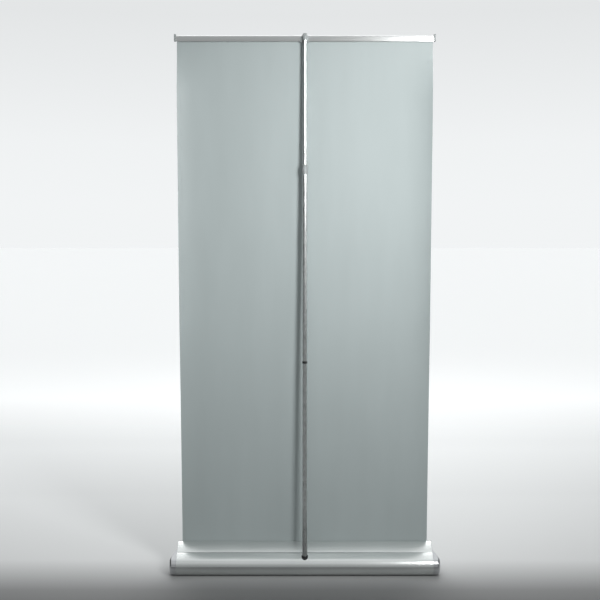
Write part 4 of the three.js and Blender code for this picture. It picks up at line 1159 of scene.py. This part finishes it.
WIRE_RADIUS = 0.9 * MM
low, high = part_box("torsion_spring")
coil_radius = (high.z - low.z) / 2 - WIRE_RADIUS - 0.05 * MM
spring = new_object("torsion_spring_fine", mesh_from("torsion_spring_fine", [], []))
grow(spring, coil, **{
    "Turns": 10.0, "Coil Radius": coil_radius, "Coil Length": high.x - low.x - 2.2 * WIRE_RADIUS,
    "Wire Radius": WIRE_RADIUS, "Finish": MATERIALS["steel"]})
spring.data.transform(Matrix.Translation((
    low.x + 1.1 * WIRE_RADIUS, (low.y + high.y) / 2, (low.z + high.z) / 2))
    @ Matrix.Rotation(math.pi / 2, 4, "Y"))
finish_piece(spring, "roller", "steel", "torsion_spring", sharp=60)

# %% [markdown]
# ## Everything else
# The parts inside the base and the pole keep the shapes of the fixed model, which are already
# exact for turned and stamped parts. They still get the finishes above, so a view with the covers
# off shows steel, plastic, rubber and film and not one grey.

# %% Finishes for the carried-over parts
node_slots = {part["node"]: part["material_slot"] for part in frame["record"]["subparts"]}
for node, thing in frame["nodes"].items():
    if not thing.hide_render:
        thing.data.materials.clear()
        thing.data.materials.append(MATERIALS[node_slots[node]])
        thing.data.shade_smooth()
        thing.data.set_sharp_from_angle(angle=math.radians(30))
        print(f"{node} keeps its shape, in {node_slots[node]}")

# %% [markdown]
# ## Stage
# The stand is photographed in a pale studio. A soft light to the right, above the camera, draws
# the bright line on the pole, a taller one further right fills the side, and a wide one hangs
# overhead. The floor's colour is painted darker close to the stand, as painted shade, and pale far
# behind it.

# %% Brightness of everything around the stand
KEY_POWER = 18
SIDE_POWER = 3
TOP_POWER = 60
ROOM_BEHIND_CAMERA = 0.2
ROOM_AHEAD = 0.88
ROOM_OVERHEAD = 0.95
FAR_FLOOR_GLOW = 0.5

# %% [markdown]
# The floor is one flat sheet. Its colour is painted shade: dark close to the stand, where the stand
# and film shade it, and pale further back. Far from the stand it has to look like the bright end of
# a sweep of paper, so the sheet glows a little there, a painted light, and its horizon melts into
# the room.

# %% Helper: a ramp of greys


def grey_ramp(owner, source, low, high, stops, cast=(1, 1, 1)):
    """Greys that follow a value from low to high, in a material or in the world."""
    reach = add_node(owner, "ShaderNodeMapRange")
    reach.inputs["From Min"].default_value = low
    reach.inputs["From Max"].default_value = high
    wire(owner, source, reach.inputs["Value"])
    ramp = add_node(owner, "ShaderNodeValToRGB")
    while len(ramp.color_ramp.elements) < len(stops):
        ramp.color_ramp.elements.new(0.5)
    for element, (position, grey) in zip(ramp.color_ramp.elements, stops):
        element.position = position
        element.color = (grey * cast[0], grey * cast[1], grey * cast[2], 1)
    wire(owner, reach.outputs["Result"], ramp.inputs["Fac"])
    return ramp.outputs["Color"]


def split_axes(owner, space):
    coordinates = add_node(owner, "ShaderNodeTexCoord")
    axes = add_node(owner, "ShaderNodeSeparateXYZ")
    wire(owner, coordinates.outputs[space], axes.inputs["Vector"])
    return axes.outputs


# %% Floor
FLOOR_HALF = 30
SHADE_START, SHADE_END = -1.0, 3.6  # metres behind the middle of the stand
floor = new_object("floor", mesh_from("floor", [
    Vector((x * FLOOR_HALF, y * FLOOR_HALF, 0)) for x, y in ((-1, -1), (1, -1), (1, 1), (-1, 1))],
    [(0, 1, 2, 3)]))
paper, paper_shader = start_material("studio_floor", (0.8, 0.8, 0.8), 0.6, Specular_IOR_Level=0.2)
backwards = split_axes(paper, "Object")["Y"]
# Painted shade: these greys darken the floor close to the stand in place of its shadow, and lighten
# it further back.
painted_shade_stops = ((0.0, 0.30), (0.13, 0.13), (0.167, 0.19), (0.239, 0.56), (0.426, 0.70),
               (0.652, 0.76), (1.0, 0.66))
glow_stops = [(position, share * FAR_FLOOR_GLOW)
              for position, share in ((0.0, 0.0), (0.45, 0.0), (0.7, 0.3), (1.0, 1.0))]
# The base colour carries the painted shade; the emission carries the painted glow of the far floor.
for name, paper_stops, cast in (("Base Color", painted_shade_stops, (0.985, 1, 1)),
                                ("Emission Color", glow_stops, (0.98, 0.995, 1))):
    shade = grey_ramp(paper, backwards, SHADE_START, SHADE_END, paper_stops, cast)
    wire(paper, shade, paper_shader.inputs[name])
paper_shader.inputs["Emission Strength"].default_value = 1
floor.data.materials.append(paper)

# %% Lights


def area_light(name, place, target, width, height, power, spread_angle):
    data = bpy.data.lights.new(name, "AREA")
    data.shape = "RECTANGLE"
    data.size = width
    data.size_y = height
    data.energy = power
    data.spread = math.radians(spread_angle)
    lamp = bpy.data.objects.new(name, data)
    lamp.location = place
    direction = Vector(target) - Vector(place)
    lamp.rotation_euler = direction.to_track_quat("-Z", "Y").to_euler()
    lamp.visible_camera = False
    bpy.context.scene.collection.objects.link(lamp)
    print(f"{name}: {power} W")
    return lamp


key = area_light("key_light", (1.25, -2.3, 2.3), (0.15, 0, 1.55), 0.7, 1.0, KEY_POWER, 84)
side_light = area_light(
    "side_light", (3.0, -1.7, 1.7), (-0.2, 0, 1.3), 1.0, 1.8, SIDE_POWER, 100)
top = area_light("overhead_light", (0, 2.5, 4.0), (0, 0, 0.3), 4.0, 3.0, TOP_POWER, 150)

# %% [markdown]
# The room around the stand is only a soft gradient: bright behind the film, dark behind the
# camera and far out to both sides, and white overhead. Polished parts need something to reflect,
# and a gradient gives them that without showing any real room.

# %% Room light
world = bpy.data.worlds.new("studio_room")
bpy.context.scene.world = world
world.use_nodes = True
axes = split_axes(world, "Generated")


def sky_mix(blend, first, second, factor=1):
    """Two skies mixed; in a colour mix, inputs 6 and 7 and output 2 are the colours."""
    mix = add_node(world, "ShaderNodeMix", data_type="RGBA", blend_type=blend)
    for socket, value in ((mix.inputs["Factor"], factor), (mix.inputs[6], first),
                          (mix.inputs[7], second)):
        if isinstance(value, bpy.types.NodeSocket):
            wire(world, value, socket)
        else:
            socket.default_value = value
    return mix.outputs[2]


front_back = grey_ramp(world, axes["Y"], -1, 1, (
    (0.0, ROOM_BEHIND_CAMERA), (0.4, ROOM_BEHIND_CAMERA * 0.9), (0.65, ROOM_AHEAD * 0.75),
    (0.85, ROOM_AHEAD), (1.0, ROOM_AHEAD)), cast=(0.975, 0.995, 1))
lean = add_node(world, "ShaderNodeMath", operation="MULTIPLY_ADD")
lean.inputs[1].default_value = 0.35  # height, counted a little higher ahead than behind
wire(world, axes["Y"], lean.inputs[0])
wire(world, axes["Z"], lean.inputs[2])
height_ramp = grey_ramp(world, lean.outputs["Value"], 0, 1, (
    (0.0, 0.3), (0.2, 0.5), (0.4, 0.65), (0.7, 0.62), (0.95, 0.92), (1.0, 1.0)))
white_above = (ROOM_OVERHEAD * 0.97, ROOM_OVERHEAD * 0.99, ROOM_OVERHEAD, 1)
low_sky = grey_ramp(world, axes["Z"], 0, 1, (
    (0.0, 0.99), (0.06, 0.97), (0.18, 0.86), (0.4, 0.95), (1.0, 1.0)))
side_share = add_node(world, "ShaderNodeMath", operation="ABSOLUTE")
wire(world, axes["X"], side_share.inputs[0])
side_sky = grey_ramp(world, side_share.outputs["Value"], 0, 1, (
    (0.0, 1.0), (0.5, 1.0), (0.72, 0.15), (1.0, 0.06)))
room = sky_mix("MIX", front_back, white_above, height_ramp)
room = sky_mix("MULTIPLY", sky_mix("MULTIPLY", room, low_sky), side_sky)
wire(world, room, world.node_tree.nodes["Background"].inputs["Color"])
print(f"room: {ROOM_AHEAD} ahead, {ROOM_BEHIND_CAMERA} behind the camera, {ROOM_OVERHEAD} overhead")
